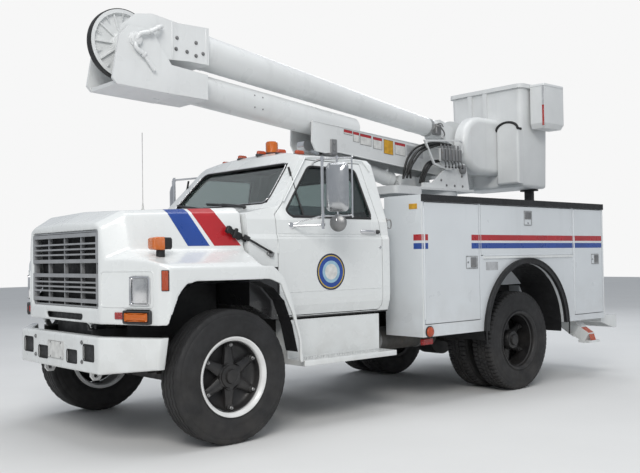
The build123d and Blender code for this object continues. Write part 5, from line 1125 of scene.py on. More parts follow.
def paddle_latch(x, z, width, height, tall):
    """A recessed pan with a folding paddle and a lock."""
    m = facing(P(x, BODY_SIDE, z), *LEFTWARD)
    pan = [slab(m, (width, height, 0.008), [(-0.001, 0), (0.004, 0), (0.0045, 0.004), (-0.0005, 0.012)], True,
        True)]
    share = 0.62
    if tall:
        grip = slab(m, (width * 0.78, height * share * 0.8, 0.006, 3, (0, height * 0.17)),
            [(0, 0), (0.004, 0.001), (0.011, 0.01), (0.012, 0.02)])
        key = m @ V(0, -height * 0.33, 0)
    else:
        grip = slab(m, (width * share * 0.8, height * 0.78, 0.006, 3, (width * 0.15, 0)),
            [(0, 0), (0.004, 0.001), (0.011, 0.01), (0.012, 0.02)])
        key = m @ V(-width * 0.33, 0, 0)
    lock = capped([(0.011, 0), (0.011, 0.005), (0.008, 0.007), (0.004, 0.007), (0.003, 0.004)], key,
        (0, 1, 0), 20)
    return pan, [grip], [lock]


for name, x, z, width, height, tall in (("front", -2.84, 1.333, 0.18, 0.126, False),
        ("middle", -3.79, 1.782, 0.14, 0.156, True), ("rear", -5.096, 1.338, 0.16, 0.118, False)):
    bodies = (f"left_{name}_bin_lid", f"right_{name}_bin_lid")
    pan, grip, lock = paddle_latch(x, z, width, height, tall)
    both(f"{name}_latch_pan", pan, bodies, "galv", 35)
    both(f"{name}_latch_paddle", grip, bodies, "steel", 35)
    both(f"{name}_latch_lock", lock, bodies, "bright", 40)

hinge_groups = []
for name, (rear, front, low) in DOOR_SPANS.items():
    if name == "middle":
        count = int((front - rear) / 0.075)
        for i in range(count):
            x = rear + 0.035 + i * 0.075
            hinge_groups.append(pipe_mesh([P(x, BODY_SIDE, 1.3985), P(x + 0.07, BODY_SIDE, 1.3985)], 0.0098,
                10, 0))
    else:
        count = int((1.86 - low) / 0.075)
        for i in range(count):
            z = low + 0.045 + i * 0.075
            hinge_groups.append(pipe_mesh([P(front + 0.0035, BODY_SIDE, z),
                P(front + 0.0035, BODY_SIDE, z + 0.07)], 0.0098, 10, 0))
both("bin_hinge_knuckles", hinge_groups, CHASSIS, "body", 50)
both("bin_drip_edge", [slab(facing(P(-3.82, BODY_SIDE, 1.377), *LEFTWARD), (1.6, 0.026, 0.006),
    [(-0.001, 0.002), (0.006, 0.0), (0.01, 0.001), (0.011, 0.006)])], CHASSIS, "white", 35)
seams = [pipe_mesh([P(-2.118, BODY_SIDE, 0.655), P(-2.118, BODY_SIDE, 1.905)], 0.004, 8, 0),
    pipe_mesh([P(-5.276, BODY_SIDE, 0.655), P(-5.276, BODY_SIDE, 1.905)], 0.004, 8, 0)]
both("body_corner_beads", seams, CHASSIS, "white", 60)
label = facing(P(-3.16, BODY_SIDE, 1.291), *LEFTWARD)
both("blank_label_plate", [slab(label, (0.196, 0.083, 0.006), [(0, 0), (0.0012, 0.0004), (0.0014, 0.001)])],
    CHASSIS, "plate", 0)
both("blank_label_rivets", [capped([(0.004, 0.001), (0.004, 0.002), (0.002, 0.003)],
    label @ V(sx * 0.088, sy * 0.033, 0), (0, 1, 0), 10) for sx in (-1, 1) for sy in (-1, 1)], CHASSIS,
    "steel", 40)
oval = facing(P(-2.199, BODY_SIDE, 0.699), *LEFTWARD)
both("body_side_lamp_base", [slab(oval, (0.112, 0.106, 0.05, 8), [(-0.001, 0), (0.006, 0), (0.009, 0.004)])],
    CHASSIS, "rubber", 40)
both("body_side_lamp", [slab(oval, (0.098, 0.092, 0.0455, 8),
    [(0.006, 0), (0.016, 0.002), (0.022, 0.01), (0.025, 0.028)])], CHASSIS, "amberdeep", 50)
low_lamp = facing(P(-2.23, 1.15, 0.602), *LEFTWARD)
both("low_side_lamp", [slab(low_lamp, (0.14, 0.056, 0.01), [(-0.03, 0), (0.0, 0), (0.006, 0.004)])], CHASSIS,
    "redlens", 40)
both("low_lamp_bracket", [slab(facing(P(-2.23, 1.12, 0.64), *UPWARD), (0.1, 0.03, 0.004),
    [(-0.04, 0), (0.013, 0)])], CHASSIS, "black", 30)
both("front_face_reflector", [slab(facing(P(BODY_FRONT, 1.102, 1.865), *FORWARD), (0.1, 0.05, 0.006),
    [(0, 0), (0.004, 0), (0.007, 0.003)])], CHASSIS, "labelamber", 35)
both("rear_grab_handle", [pipe_mesh([P(BODY_REAR, 1.15, 1.487), P(-5.322, 1.15, 1.48), P(-5.332, 1.15, 1.412),
    P(-5.322, 1.15, 1.343), P(BODY_REAR, 1.15, 1.336)], 0.009, 12, 6)]
    + [capped([(0.022, 0), (0.02, 0.006), (0.012, 0.009)], P(BODY_REAR, 1.15, z), (-1, 0, 0), 20)
    for z in (1.487, 1.336)], CHASSIS, "chrome", 50)
trim_bolts = []
for i in range(22):
    trim_bolts.append(capped([(0.007, 0), (0.006, 0.002), (0.003, 0.0035)], P(-2.2 - i * 0.145, 1.212, 1.941),
        (0, 1, 0), 12))
both("trim_rivets", trim_bolts, CHASSIS, "rubber", 50)
turns = [radians(-8 + 196 * i / 40) for i in range(41)]
flare = [P(ARCH_X + 0.7365 * cos(a), 1.2365, ARCH_Z + 0.7365 * sin(a)) for a in turns]
both("arch_flare_bead", [pipe_mesh(flare, 0.0075, 8, 0)], CHASSIS, "rubber", 60)

# Rear of the body: lamps, markers, the banks' frames, the step's tread and a bare plate
tail_rims = []
for tone, look_name, y in (("red", "redlens", 1.02), ("amber", "amber", 0.88)):
    m = facing(P(BODY_REAR, y, 0.885), *REARWARD)
    both(f"tail_lamp_{tone}", [slab(m, (0.112, 0.112, 0.054, 8),
        [(0, 0), (0.01, 0.001), (0.018, 0.006), (0.022, 0.02)])], CHASSIS, look_name, 50)
    tail_rims.append(slab(m, (0.132, 0.132, 0.064, 8), [(-0.001, 0), (0.006, 0), (0.008, 0.004)]))
both("tail_lamp_rims", tail_rims, CHASSIS, "rubber", 40)
both("top_rear_markers", [slab(facing(P(BODY_REAR, 1.1, 1.865), *REARWARD), (0.1, 0.048, 0.006),
    [(0, 0), (0.006, 0), (0.01, 0.004)])], CHASSIS, "redlens", 35)
both("bank_rear_frames", [panel_bead(facing(P(BODY_REAR - 0.0005, 0.965, 1.32), *REARWARD),
    (0.4, 1.02, 0.03, 5), 0.004)], CHASSIS, "white", 60)
tail_tread = []
for i in range(56):
    y = -1.1 + i * 0.04
    for j, x in enumerate((-5.36, -5.42, -5.48, -5.54, -5.6)):
        skew = 0.6 if (i + j) % 2 else -0.6
        z = 0.68 - (-5.2823 - x) * 0.012 / 0.3477 - 0.0005
        tail_tread.append(cleat(P(x, y, z), (skew, 1, 0), 0.028))
add("rear_step_tread", tail_tread, "chassis", "galv", 30)
plate_m = facing(P(-5.6305, 0.45, 0.592), *REARWARD)
add("rear_bare_plate", [slab(plate_m, (0.305, 0.13, 0.012), [(-0.001, 0), (0.001, 0), (0.0015, 0.001)])],
    "chassis", "plate", 0)

# Bed: ribs along its floor, the middle ones broken by the pedestal
bed = []
for i in range(9):
    y = -0.64 + i * 0.16
    for x, length in ((-3.69, 3.05),) if abs(y) > 0.33 else ((-2.7, 1.05), (-4.59, 1.25)):
        bed.append(slab(facing(P(x, y, 1.1), *UPWARD), (length, 0.05, 0.015), [(0, 0), (0.005, 0.004)], False,
            True))
add("bed_ribs", bed, "chassis", "body", 30)
both("bank_top_cover", [slab(facing(P(-3.696, 0.965, 1.973), *UPWARD), (3.16, 0.45, 0.012),
    [(-0.001, 0), (0.001, 0.0), (0.002, 0.001)])], CHASSIS, "rubber", 0)


# Booms: the elbow's rim band, bolts and oil pipes, blank plates on the steel base, the rest pad and the strap

def on_lower(x):
    """The lower boom's centre height at a station."""
    return LOWER_Z + (x - ELBOW_X) * LOWER_SLOPE


def on_upper(x):
    """The upper boom's centre height at a station."""
    return UPPER_Z + (x - ELBOW_X) * UPPER_SLOPE


def upper_r(x):
    """The upper boom's radius at a station: it tapers towards the bucket."""
    (near, far), (wide, narrow) = UPPER_ENDS, UPPER_RADII
    return wide + (narrow - wide) * (near - x) / (near - far)


elbow = P(ELBOW_X, 0, ELBOW_Z)
add("sheave_rim_band", [lathe([(0.2925, -0.034), (0.3, -0.032), (0.302, -0.02), (0.302, 0.02), (0.3, 0.032),
    (0.2925, 0.034), (0.286, 0.03), (0.286, -0.03)], elbow, (0, 1, 0), 96, closed=True)], "levelling_sheave",
    "rubber", 40)
gussets = []
for i in range(10):
    a = 2 * pi * (i + 0.5) / 10
    for y in (0.034, -0.034):
        inner = elbow + V(cos(a) * 0.2, y * 0.72, sin(a) * 0.2)
        outer = elbow + V(cos(a) * 0.262, y * 0.72, sin(a) * 0.262)
        n = V(-sin(a), 0, cos(a)) * 0.003
        tip = outer + V(0, y * 0.55, 0)
        gussets.append(stack([[inner + n * s, outer + n * s, tip + n * s]
            for s in ((-1, 1) if y > 0 else (1, -1))]))
add("sheave_gussets", gussets, "levelling_sheave", "boom", 30)

upper_bolts = []
for x, z in ((-0.141, 3.31), (-0.13, 3.213), (-0.241, 3.204), (-0.333, 3.182), (-0.335, 3.297),
        (-0.407, 3.211)):
    for s in (1, -1):
        upper_bolts += bolt(P(x, s * 0.194, z), (0, s, 0), 0.012, 0.012)
add("elbow_box_bolts", upper_bolts, "upper_arm", "steel", 35)
collar_rim = []
for x0 in (-0.452, -0.105):
    collar_rim.append(stack([[P(x, y, z) for y, z in ((0.198, 3.124), (0.198, 3.442), (-0.198, 3.442),
        (-0.198, 3.124))] for x in (x0 + 0.018, x0)], True, True))
add("elbow_collar_rims", collar_rim, "upper_arm", "boom", 20, bevel=0.004)
pin_parts = []
for s in (1, -1):
    base = P(ELBOW_X, s * 0.234, ELBOW_Z)
    pin_parts.append(capped([(0.062, 0), (0.062, 0.012), (0.052, 0.016), (0.05, 0.03), (0.03, 0.036)], base,
        (0, s, 0), 40))
    for k in range(6):
        a = 2 * pi * k / 6
        pin_parts += bolt(base + V(cos(a) * 0.048, s * 0.014, sin(a) * 0.048), (0, s, 0), 0.007, 0.01, False)
add("elbow_pin_caps", pin_parts, "lower_arm", "boom", 35)
pipes = [pipe_mesh([P(ELBOW_X, 0.255, ELBOW_Z), P(0.262, 0.268, 3.262), P(0.215, 0.268, 3.282),
    P(0.16, 0.268, 3.3), P(0.085, 0.262, 3.345), P(0.03, 0.225, 3.372)], 0.019, 14, 5),
    pipe_mesh([P(0.3, 0.262, 3.19), P(0.296, 0.268, 3.15), P(0.262, 0.268, 3.122), P(0.222, 0.268, 3.1),
    P(0.17, 0.262, 3.04), P(0.12, 0.258, 2.985)], 0.017, 14, 5)]
for place, way in ((P(0.16, 0.268, 3.3), (-0.8, 0, 0.5)), (P(0.222, 0.268, 3.1), (-0.7, 0, -0.6)),
        (P(0.085, 0.262, 3.345), (-0.8, 0, 0.5))):
    pipes.append(capped([(0.024, -0.014), (0.026, -0.012), (0.026, 0.012), (0.024, 0.014)], place, way, 6))
add("elbow_oil_pipes", pipes, "lower_arm", "boom", 45)

lower_marks = []
for x in (-1.02, -1.115):
    for dz in (-0.055, 0.055):
        s_y = sqrt(max(0.0, 0.142 ** 2 - dz ** 2))
        lower_marks += bolt(P(x, s_y - 0.001, on_lower(x) + dz), (0, s_y, dz), 0.008, 0.007, False)
add("lower_tube_bolts", lower_marks, "lower_arm", "steel", 35)

BASE_Y = 0.17
LABELS = ((-2.12, -2.235, 0.02, 0.045, "labelwhite"), (-2.25, -2.335, 0.022, 0.1, "labelwhite"),
    (-2.35, -2.51, 0.026, 0.11, "labelwhite"), (-2.54, -2.67, 0.03, 0.12, "labelwhite"),
    (-2.7, -2.84, 0.03, 0.15, "labelamber"), (-2.87, -3.03, 0.034, 0.13, "labelwhite"),
    (-3.05, -3.32, 0.036, 0.115, "plate"))


def base_top(x):
    """The steel base's upper edge at a station."""
    (near, far), (high, low) = BASE_ENDS, BASE_TOPS
    return high + (x - near) * (high - low) / (near - far)


def plate_corners(x0, x1, drop, tall, y):
    """A plate's corners on the steel base, from its upper edge."""
    return [P(x0, y, base_top(x0) - drop), P(x1, y, base_top(x1) - drop),
        P(x1, y, base_top(x1) - drop - tall), P(x0, y, base_top(x0) - drop - tall)]


for tone in ("labelwhite", "labelamber", "plate"):
    groups = []
    for *place, which in LABELS:
        for s in (1, -1) if which == tone else ():
            rings = [plate_corners(*place, s * (BASE_Y + out)) for out in (0.0001, 0.0014)]
            groups.append(stack(rings if s < 0 else [ring[::-1] for ring in rings]))
    add(f"base_plates_{tone}", groups, "lower_arm", tone, 0)
rims = []
heads = []
for *place, which in LABELS[:-1]:
    for s in (1, -1):
        y = s * (BASE_Y + 0.0015)
        rims.append(pipe_mesh(plate_corners(*place, y), 0.0022, 6, 0, True))
        if which == "labelwhite":
            a, b = plate_corners(*place, y + s * 0.0006)[:2]
            lower_by = V(0, 0, 0.028)
            heads.append(([a, b, b - lower_by, a - lower_by], [(0, 1, 2, 3)]))
add("base_plate_rims", rims, "lower_arm", "plastic", 40)
add("base_plate_bands", heads, "lower_arm", "red", 0)
edge = []
for s in (1, -1):
    edge.append(pipe_mesh([P(-1.705, s * BASE_Y, 2.748), P(-3.785, s * BASE_Y, 2.592)], 0.006, 8, 0))
    edge.append(pipe_mesh([P(-1.865, s * BASE_Y, 2.443), P(-1.955, s * BASE_Y, 2.455),
        P(-2.06, s * BASE_Y, 2.46), P(-3.583, s * BASE_Y, 2.312)], 0.006, 8, 0))
add("boom_base_edges", edge, "lower_arm", "boom", 60)
rest = []
for s in (1, -1):
    rest.append(slab(facing(P(-1.97, s * 0.175, 2.51), (-1, 0, 0), (0, s, 0)), (0.08, 0.15, 0.006),
        [(-0.004, 0), (0.008, 0), (0.01, 0.002)]))
    for z in (2.545, 2.475):
        rest += bolt(P(-1.97, s * 0.184, z), (0, s, 0), 0.01, 0.01)
rest.append(slab(facing(P(-1.97, 0, 2.438), (0, 1, 0), (0, 0, -1)), (0.36, 0.11, 0.01),
    [(-0.004, 0), (0.01, 0), (0.014, 0.004)]))
add("boom_rest_pad", rest, "lower_arm", "steel", 30)

upper_way = V(1, 0, UPPER_SLOPE).normalized()
strap_x = -3.58
r = upper_r(strap_x)
strap = lathe([(r + 0.0005, -0.022), (r + 0.004, -0.022), (r + 0.004, 0.022), (r + 0.0005, 0.022)],
    P(strap_x, 0, on_upper(strap_x)), upper_way, 64, closed=True)
strap_box = [slab(facing(P(-3.64, 0.122, 2.84), (-1, 0, -0.13), (0, 1, 0)), (0.085, 0.12, 0.01),
    [(-0.05, 0), (0.012, 0), (0.016, 0.004)]), pipe_mesh([P(-3.6, 0.135, 2.88), P(-3.63, 0.165, 2.86),
    P(-3.68, 0.168, 2.82), P(-3.72, 0.15, 2.78), P(-3.7, 0.128, 2.74)], 0.008, 10, 5),
    pipe_mesh([P(-3.625, 0.138, 2.905), P(-3.66, 0.16, 2.9), P(-3.7, 0.15, 2.87)], 0.006, 8, 4)]
add("boom_strap", [strap], "upper_arm", "galv", 50)
add("boom_strap_latch", strap_box, "upper_arm", "steel", 40)
rings = []
for x in (-0.52, -3.3):
    r = upper_r(x)
    rings.append(lathe([(r + 0.0002, -0.03), (r + 0.003, -0.028), (r + 0.003, 0.028), (r + 0.0002, 0.03)],
        P(x, 0, on_upper(x)), upper_way, 64, closed=True))
add("upper_tube_bands", rings, "upper_arm", "boom", 50)

# Turret: valve block with its levers, hoses, the pins' keeper plates and the slewing ring's bolts
VALVE_X, VALVE_STEP = -3.455, 0.058
valve, levers = [], []
for i in range(6):
    x = VALVE_X - i * VALVE_STEP
    valve.append(slab(facing(P(x, 0.34, 2.52), *LEFTWARD), (0.044, 0.132, 0.006),
        [(-0.004, 0), (0.016, 0), (0.019, 0.003)]))
    valve.append(capped([(0.014, -0.004), (0.014, 0.02), (0.011, 0.026), (0.011, 0.044), (0.008, 0.048)],
        P(x, 0.32, 2.59), (0, 0, 1), 6))
    levers.append(pipe_mesh([P(x, 0.352, 2.462), P(x - 0.01, 0.366, 2.43), P(x - 0.015, 0.368, 2.395)],
        0.0055, 8, 3))
    levers.append(capped([(0.006, -0.004), (0.012, 0.004), (0.012, 0.012), (0.005, 0.02)],
        P(x - 0.015, 0.368, 2.39), (-0.1, 0, -1), 14))
hoses = []
for k, (dy, lift) in enumerate(((0.0, 0.0), (0.035, 0.02), (-0.035, 0.035), (0.055, -0.012))):
    hoses.append(pipe_mesh([P(-2.959 - 0.02 * k, 0.2 + dy, 2.24), P(-2.995, 0.22 + dy, 2.33),
        P(-3.04, 0.235 + dy, 2.43 + lift), P(-3.15, 0.25 + dy, 2.545 + lift),
        P(-3.325, 0.262 + dy * 0.6, 2.606 + lift), P(-3.48, 0.268 + dy * 0.4, 2.64 + lift * 0.5),
        P(VALVE_X - VALVE_STEP * k, 0.315, 2.64)], 0.0125, 12, 6))
for k in range(3):
    hoses.append(pipe_mesh([P(-3.21 - 0.03 * k, 0.21, 2.2), P(-3.23 - 0.03 * k, 0.225, 2.29),
        P(-3.26 - 0.04 * k, 0.255, 2.39), P(-3.33 - 0.05 * k, 0.262, 2.44),
        P(-3.47 - VALVE_STEP * k, 0.262, 2.46)], 0.011, 12, 6))
add("valve_block", valve, "slewing_turret", "steel", 35)
add("valve_levers", levers, "slewing_turret", "plastic", 50)
add("turret_hoses", hoses, "slewing_turret", "hose", 50)
keepers = []
for s in (1, -1):
    base = P(PIN_X, s * 0.322, PIN_Z)
    keepers.append(capped([(0.052, -0.02), (0.052, 0.004), (0.044, 0.01), (0.02, 0.012)], base, (0, s, 0),
        36))
    for dx, dz in ((-0.055, 0.04), (0.06, 0.03), (0.0, -0.075)):
        keepers += bolt(P(PIN_X + dx, s * 0.3, PIN_Z + dz), (0, s, 0), 0.011, 0.01)
    for x, z in ((-3.56, 2.185), (-3.7, 2.185), (-3.84, 2.185), (-3.47, 2.24)):
        keepers += bolt(P(x, s * 0.3, z), (0, s, 0), 0.01, 0.009)
add("turret_pins_and_bolts", keepers, "slewing_turret", "steel", 35)
ring_bolts = []
for k in range(28):
    a = 2 * pi * k / 28
    ring_bolts += bolt(P(SLEW_X + 0.312 * cos(a), 0.312 * sin(a), 2.062), (0, 0, -1), 0.009, 0.012)
add("slewing_ring_bolts", ring_bolts, "chassis", "steel", 35)

# Lift cylinder: gland nut, ports and a painted weld ring
way_c = V(1.325, 0, 0.295).normalized()
foot_c = P(-3.06, 0, 2.225)
gland = [lathe([(0.0825, 1.06), (0.096, 1.064), (0.096, 1.124), (0.09, 1.131), (0.046, 1.133), (0.046, 1.06)],
    foot_c, way_c, 48, closed=True)]
for k in range(8):
    a = 2 * pi * k / 8
    u = V(0, 1, 0)
    w = way_c.cross(u)
    gland.append(capped([(0.0075, 0), (0.0075, 0.006)], foot_c + way_c * 1.13 + (u * cos(a) + w * sin(a))
        * 0.074, way_c, 6))
gland.append(lathe([(0.083, 0.16), (0.0865, 0.163), (0.0865, 0.175), (0.083, 0.178)], foot_c, way_c, 48,
    closed=True))
for d in (0.22, 0.98):
    c = foot_c + way_c * d + V(0, 0.055, 0.052)
    gland.append(capped([(0.022, -0.012), (0.022, 0.02), (0.015, 0.024), (0.015, 0.04)], c, (0, 0.73, 0.69),
        14))
add("cylinder_fittings", gland, "lift_barrel", "boom", 40)

# Tool box on the bucket: reflective strips and a lid with its screws
box_low, box_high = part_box("tool_box")


def box_strip(z0, z1, x, s):
    """A strip up the box's left edge, on its front (s = 1) or its back."""
    y0, y1 = box_high[1] - 0.03, box_high[1] - 0.002
    m = facing(V(x, (y0 + y1) / 2, (z0 + z1) / 2), (0, s, 0), (s, 0, 0))
    return slab(m, (y1 - y0, z1 - z0, 0.002, 2), [(0, 0), (0.0012, 0.0004)])


span = box_high[2] - box_low[2]
add("tool_box_strip_red", [box_strip(box_low[2] + 0.05 * span, box_low[2] + 0.52 * span, box_high[0], 1),
    box_strip(box_low[2] + 0.1 * span, box_high[2] - 0.02, box_low[0], -1)], "platform", "redlens", 0)
add("tool_box_strip_grey", [box_strip(box_low[2] + 0.525 * span, box_high[2] - 0.01, box_high[0], 1)],
    "platform", "plate", 0)
lid_m = facing(V((box_low[0] + box_high[0]) / 2, (box_low[1] + box_high[1]) / 2, box_high[2]), *UPWARD_AHEAD)
add("tool_box_lid", [slab(lid_m, (box_high[0] - box_low[0] + 0.008, box_high[1] - box_low[1] + 0.008, 0.012),
    [(-0.022, 0), (0.0, 0), (0.006, 0.004)])] + [capped([(0.006, 0), (0.006, 0.004), (0.003, 0.006)],
    V(x, box_high[1], z), (0, 1, 0), 12) for x in (box_low[0] + 0.03, box_high[0] - 0.03)
    for z in (box_low[2] + 0.04, box_high[2] - 0.06)], "platform", "gelcoat", 40)

# Behind the grille: a finned core, a dark screen, and backing for the lower slot

core = []
for i in range(96):
    y = -0.57 + i * 0.012
    for z0, z1 in ((1.068, 1.3), (1.392, 1.628)):
        core.append(([P(0.735, y, z0), P(0.735, y, z1), P(0.741, y + 0.006, z1), P(0.741, y + 0.006, z0),
            P(0.735, y + 0.012, z1), P(0.735, y + 0.012, z0)], [(0, 1, 2, 3), (3, 2, 4, 5)]))
add("grille_core", core, "tilt_hood", "rubber", 0)
screen = [slab(facing(P(0.728, 0, 1.345), *FORWARD), (1.15, 0.58, 0.02),
    [(-0.004, 0), (0.003, 0), (0.005, 0.004)]), slab(facing(P(0.742, -0.49, 1.346), *FORWARD),
    (0.1, 0.07, 0.006), [(-0.004, 0), (0.004, 0), (0.006, 0.003)]),
    slab(facing(P(0.776, 0, 0.972), *FORWARD), (0.74, 0.085, 0.01),
    [(-0.004, 0), (0.003, 0), (0.005, 0.003)])]
add("grille_screen", screen, "tilt_hood", "rubber", 30)

# Bumper: bare plate in its frame, bolts, rubber blocks behind its openings

plate_at = facing(P(0.876, -0.02, 0.705), *FORWARD)
add("front_plate", [slab(plate_at, (0.286, 0.146, 0.012), [(-0.001, 0), (0.002, 0), (0.0028, 0.001)])],
    "chassis", "labelwhite", 30)
edge = [panel_bead(plate_at @ Matrix.Translation((0, 0, 0.0028)), (0.274, 0.134, 0.01), 0.0016)]
for sx in (-0.095, 0.095):
    for sz in (-0.056, 0.056):
        edge += bolt(plate_at @ V(sx, sz, 0.0026), (1, 0, 0), 0.0052, 0.004)
add("front_plate_rim", edge, "chassis", "steel", 40)
bolts_at = []
for y, z in ((0.433, 0.644), (-0.402, 0.642), (0.433, 0.79), (-0.402, 0.79)):
    bolts_at += bolt(P(0.875, y, z), (1, 0, 0), 0.012, 0.01)
add("bumper_bolts", bolts_at, "chassis", "steel", 30)
blocks = []
for y, z, w, h in ((0.26, 0.673, 0.204, 0.12), (0.54, 0.718, 0.204, 0.142)):
    for side in (-1, 1):
        m = facing(P(0.858, side * y, z), *FORWARD)
        blocks.append(slab(m, (w, h, 0.02), [(-0.01, 0.006), (-0.004, 0), (0.004, 0), (0.006, 0.002)]))
        blocks.append(panel_bead(m @ Matrix.Translation((0, 0, 0.0172)), (w - 0.026, h - 0.018, 0.02), 0.003))
add("bumper_blocks", blocks, "chassis", "rubber", 40)

# Wheel wells: dark liners under the fenders and inside the rear arches

ARCH = [(0.56, 0.935), (0.545, 1.06), (0.47, 1.165), (0.35, 1.222), (-0.262, 1.222)]
REAR_ARCH = [(-0.262, 1.222), (-0.4, 1.165), (-0.505, 1.06), (-0.585, 0.86), (-0.64, 0.64)]


def liner(points, inner, outer):
    """A ribbed sheet that follows the wheel opening."""
    rows = []
    for i, (x, z) in enumerate(points[:-1]):
        x2, z2 = points[i + 1]
        for k in range(6):
            t = k / 6
            rows.append((x + (x2 - x) * t, z + (z2 - z) * t))
    rows.append(points[-1])
    vs = [P(x, inner + (outer - inner) * k / 4, z + (0.0 if i % 3 else 0.004))
        for i, (x, z) in enumerate(rows) for k in range(5)]
    return vs, grid(len(rows), 5)


well_wall = [P(x, 0.56, z) for x, z in ((0.57, 0.8), (0.56, 0.935), (0.545, 1.06), (0.47, 1.165),
    (0.35, 1.222), (-0.262, 1.222), (-0.262, 0.8))]
both("wheel_well", [liner(ARCH, 0.56, 1.158), liner(REAR_ARCH, 1.006, 1.158), (well_wall, [tuple(range(7))])],
    HOOD, "rubber", 40)
well = []
for side in (-1, 1):
    vs = []
    for i in range(41):
        a = radians(-6 + 192 * i / 40)
        reach = ARCH_R - (0 if i % 4 else 0.003)
        for y in (0.59, 0.8, 1.0, 1.168):
            vs.append(P(ARCH_X + reach * cos(a), side * y, ARCH_Z + reach * sin(a)))
    well.append((vs, grid(41, 4) + [tuple(i * 4 for i in range(41))]))
add("rear_wheel_wells", well, "chassis", "rubber", 40)
strap = [pipe_mesh([P(-0.262, 0.985, 1.56), P(-0.3, 1.004, 1.545), P(-0.4, 1.014, 1.494),
    P(-0.495, 1.024, 1.446)], 0.0085, 8, 4), pipe_mesh([P(-0.25, 0.972, 1.58), P(-0.29, 0.99, 1.556)], 0.02,
    10, 0)]
both("hood_latch_rod", strap, HOOD, "rubber", 40)

# Cab inside: door cards, headliner, rear trim, floor mat, dials, pedals and the padded bench

both("door_card", [laid([P(-1.74, 0.5, 0.985), P(-0.7, 0.5, 0.985), P(-0.7, 0.5, 1.7), P(-1.74, 0.5, 1.7)],
    "left_door", (0, 1, 0), 0.005, 0.06)], DOORS, "interior", 30)
arm = slab(facing(P(-1.25, 0.86, 1.38), (1, 0, 0), (0, -1, 0)), (0.42, 0.06, 0.024),
    [(-0.03, 0), (0.028, 0.002), (0.036, 0.012)])
crank = capped([(0.02, 0), (0.018, 0.014), (0.012, 0.02)], P(-0.98, 0.868, 1.3), (0, -1, 0), 20)
both("door_armrest", [arm, crank], DOORS, "vinyl", 40)
trim = [laid([P(-1.8, -0.66, 2.1), P(-1.08, -0.66, 2.1), P(-1.08, 0.66, 2.1), P(-1.8, 0.66, 2.1)],
    "cab_shell", (0, 0, 1), 0.004, 0.06), laid([P(-1.6, -0.86, 1.05), P(-1.6, 0.86, 1.05),
    P(-1.6, 0.86, 1.745), P(-1.6, -0.86, 1.745)], "cab_shell", (-1, 0, 0), 0.004, 0.06)]
add("cab_lining", trim, "chassis", "interior", 30)
mat = [laid([P(-1.12, -0.84, 1.2), P(-0.66, -0.84, 1.2), P(-0.66, 0.84, 1.2), P(-1.12, 0.84, 1.2)],
    "cab_shell", (0, 0, -1), 0.004, 0.03)]
for i in range(14):
    mat.append(pipe_mesh([P(-1.1 + i * 0.03, -0.8, 0.956), P(-1.1 + i * 0.03, 0.8, 0.956)], 0.003, 6, 0))
add("floor_mat", mat, "chassis", "rubber", 30)
DASH = facing(P(-0.662, 0.39, 1.63), (0, -1, 0), (-1, 0, 0.05))
cluster = [slab(DASH, (0.46, 0.118, 0.02), [(-0.03, 0), (0.006, 0), (0.012, 0.005), (0.004, 0.01)])]
for dx, r in ((-0.16, 0.03), (-0.075, 0.044), (0.035, 0.044), (0.12, 0.03), (0.18, 0.022)):
    cluster.append(lathe([(r - 0.004, 0.012), (r - 0.001, 0.017), (r + 0.003, 0.016), (r + 0.004, 0.004)],
        DASH @ V(dx, 0, 0), (-1, 0, 0.05), 28))
for dx in (0.34, 0.44, 0.54, 0.96):
    cluster.append(slab(DASH @ Matrix.Translation((dx, 0, 0)), (0.08, 0.06, 0.008),
        [(-0.03, 0), (0.006, 0), (0.01, 0.004)]))
add("dash_cluster", cluster, "chassis", "plastic", 35)
dials = []
for dx, r in ((-0.16, 0.027), (-0.075, 0.041), (0.035, 0.041), (0.12, 0.027)):
    dials.append(capped([(r, 0.0125), (r - 0.002, 0.0135)], DASH @ V(dx, 0, 0), (-1, 0, 0.05), 28))
add("dash_dials", dials, "chassis", "labelwhite", 35)
pads = []
for y in (0.5, 0.36, 0.2):
    pads.append(slab(facing(P(-0.745, y, 1.1), (0, 1, 0), (-1, 0, 0.55)), (0.066, 0.088, 0.012),
        [(-0.006, 0), (0.004, 0), (0.008, 0.004)]))
    pads.append(pipe_mesh([P(-0.74, y, 1.105), P(-0.69, y, 1.18), P(-0.655, y, 1.33)], 0.009, 8, 4))
lever = pipe_mesh([P(-0.86, 0.0, 0.96), P(-0.88, 0.01, 1.15), P(-0.96, 0.03, 1.36)], 0.01, 10, 5)
knob = capped([(0.01, -0.02), (0.024, 0.0), (0.027, 0.018), (0.018, 0.036), (0.004, 0.042)],
    P(-0.96, 0.03, 1.36), (-0.3, 0.05, 1), 20)
boot = capped([(0.085, 0), (0.07, 0.02), (0.04, 0.05), (0.016, 0.09), (0.014, 0.11)], P(-0.86, 0.0, 0.956),
    (-0.1, 0, 1), 24)
add("pedals_and_lever", pads + [lever, knob, boot], "chassis", "rubber", 40)


SWELL, SEAM = 0.014, 0.01      # how far a pad swells, and how deep its seams are drawn in


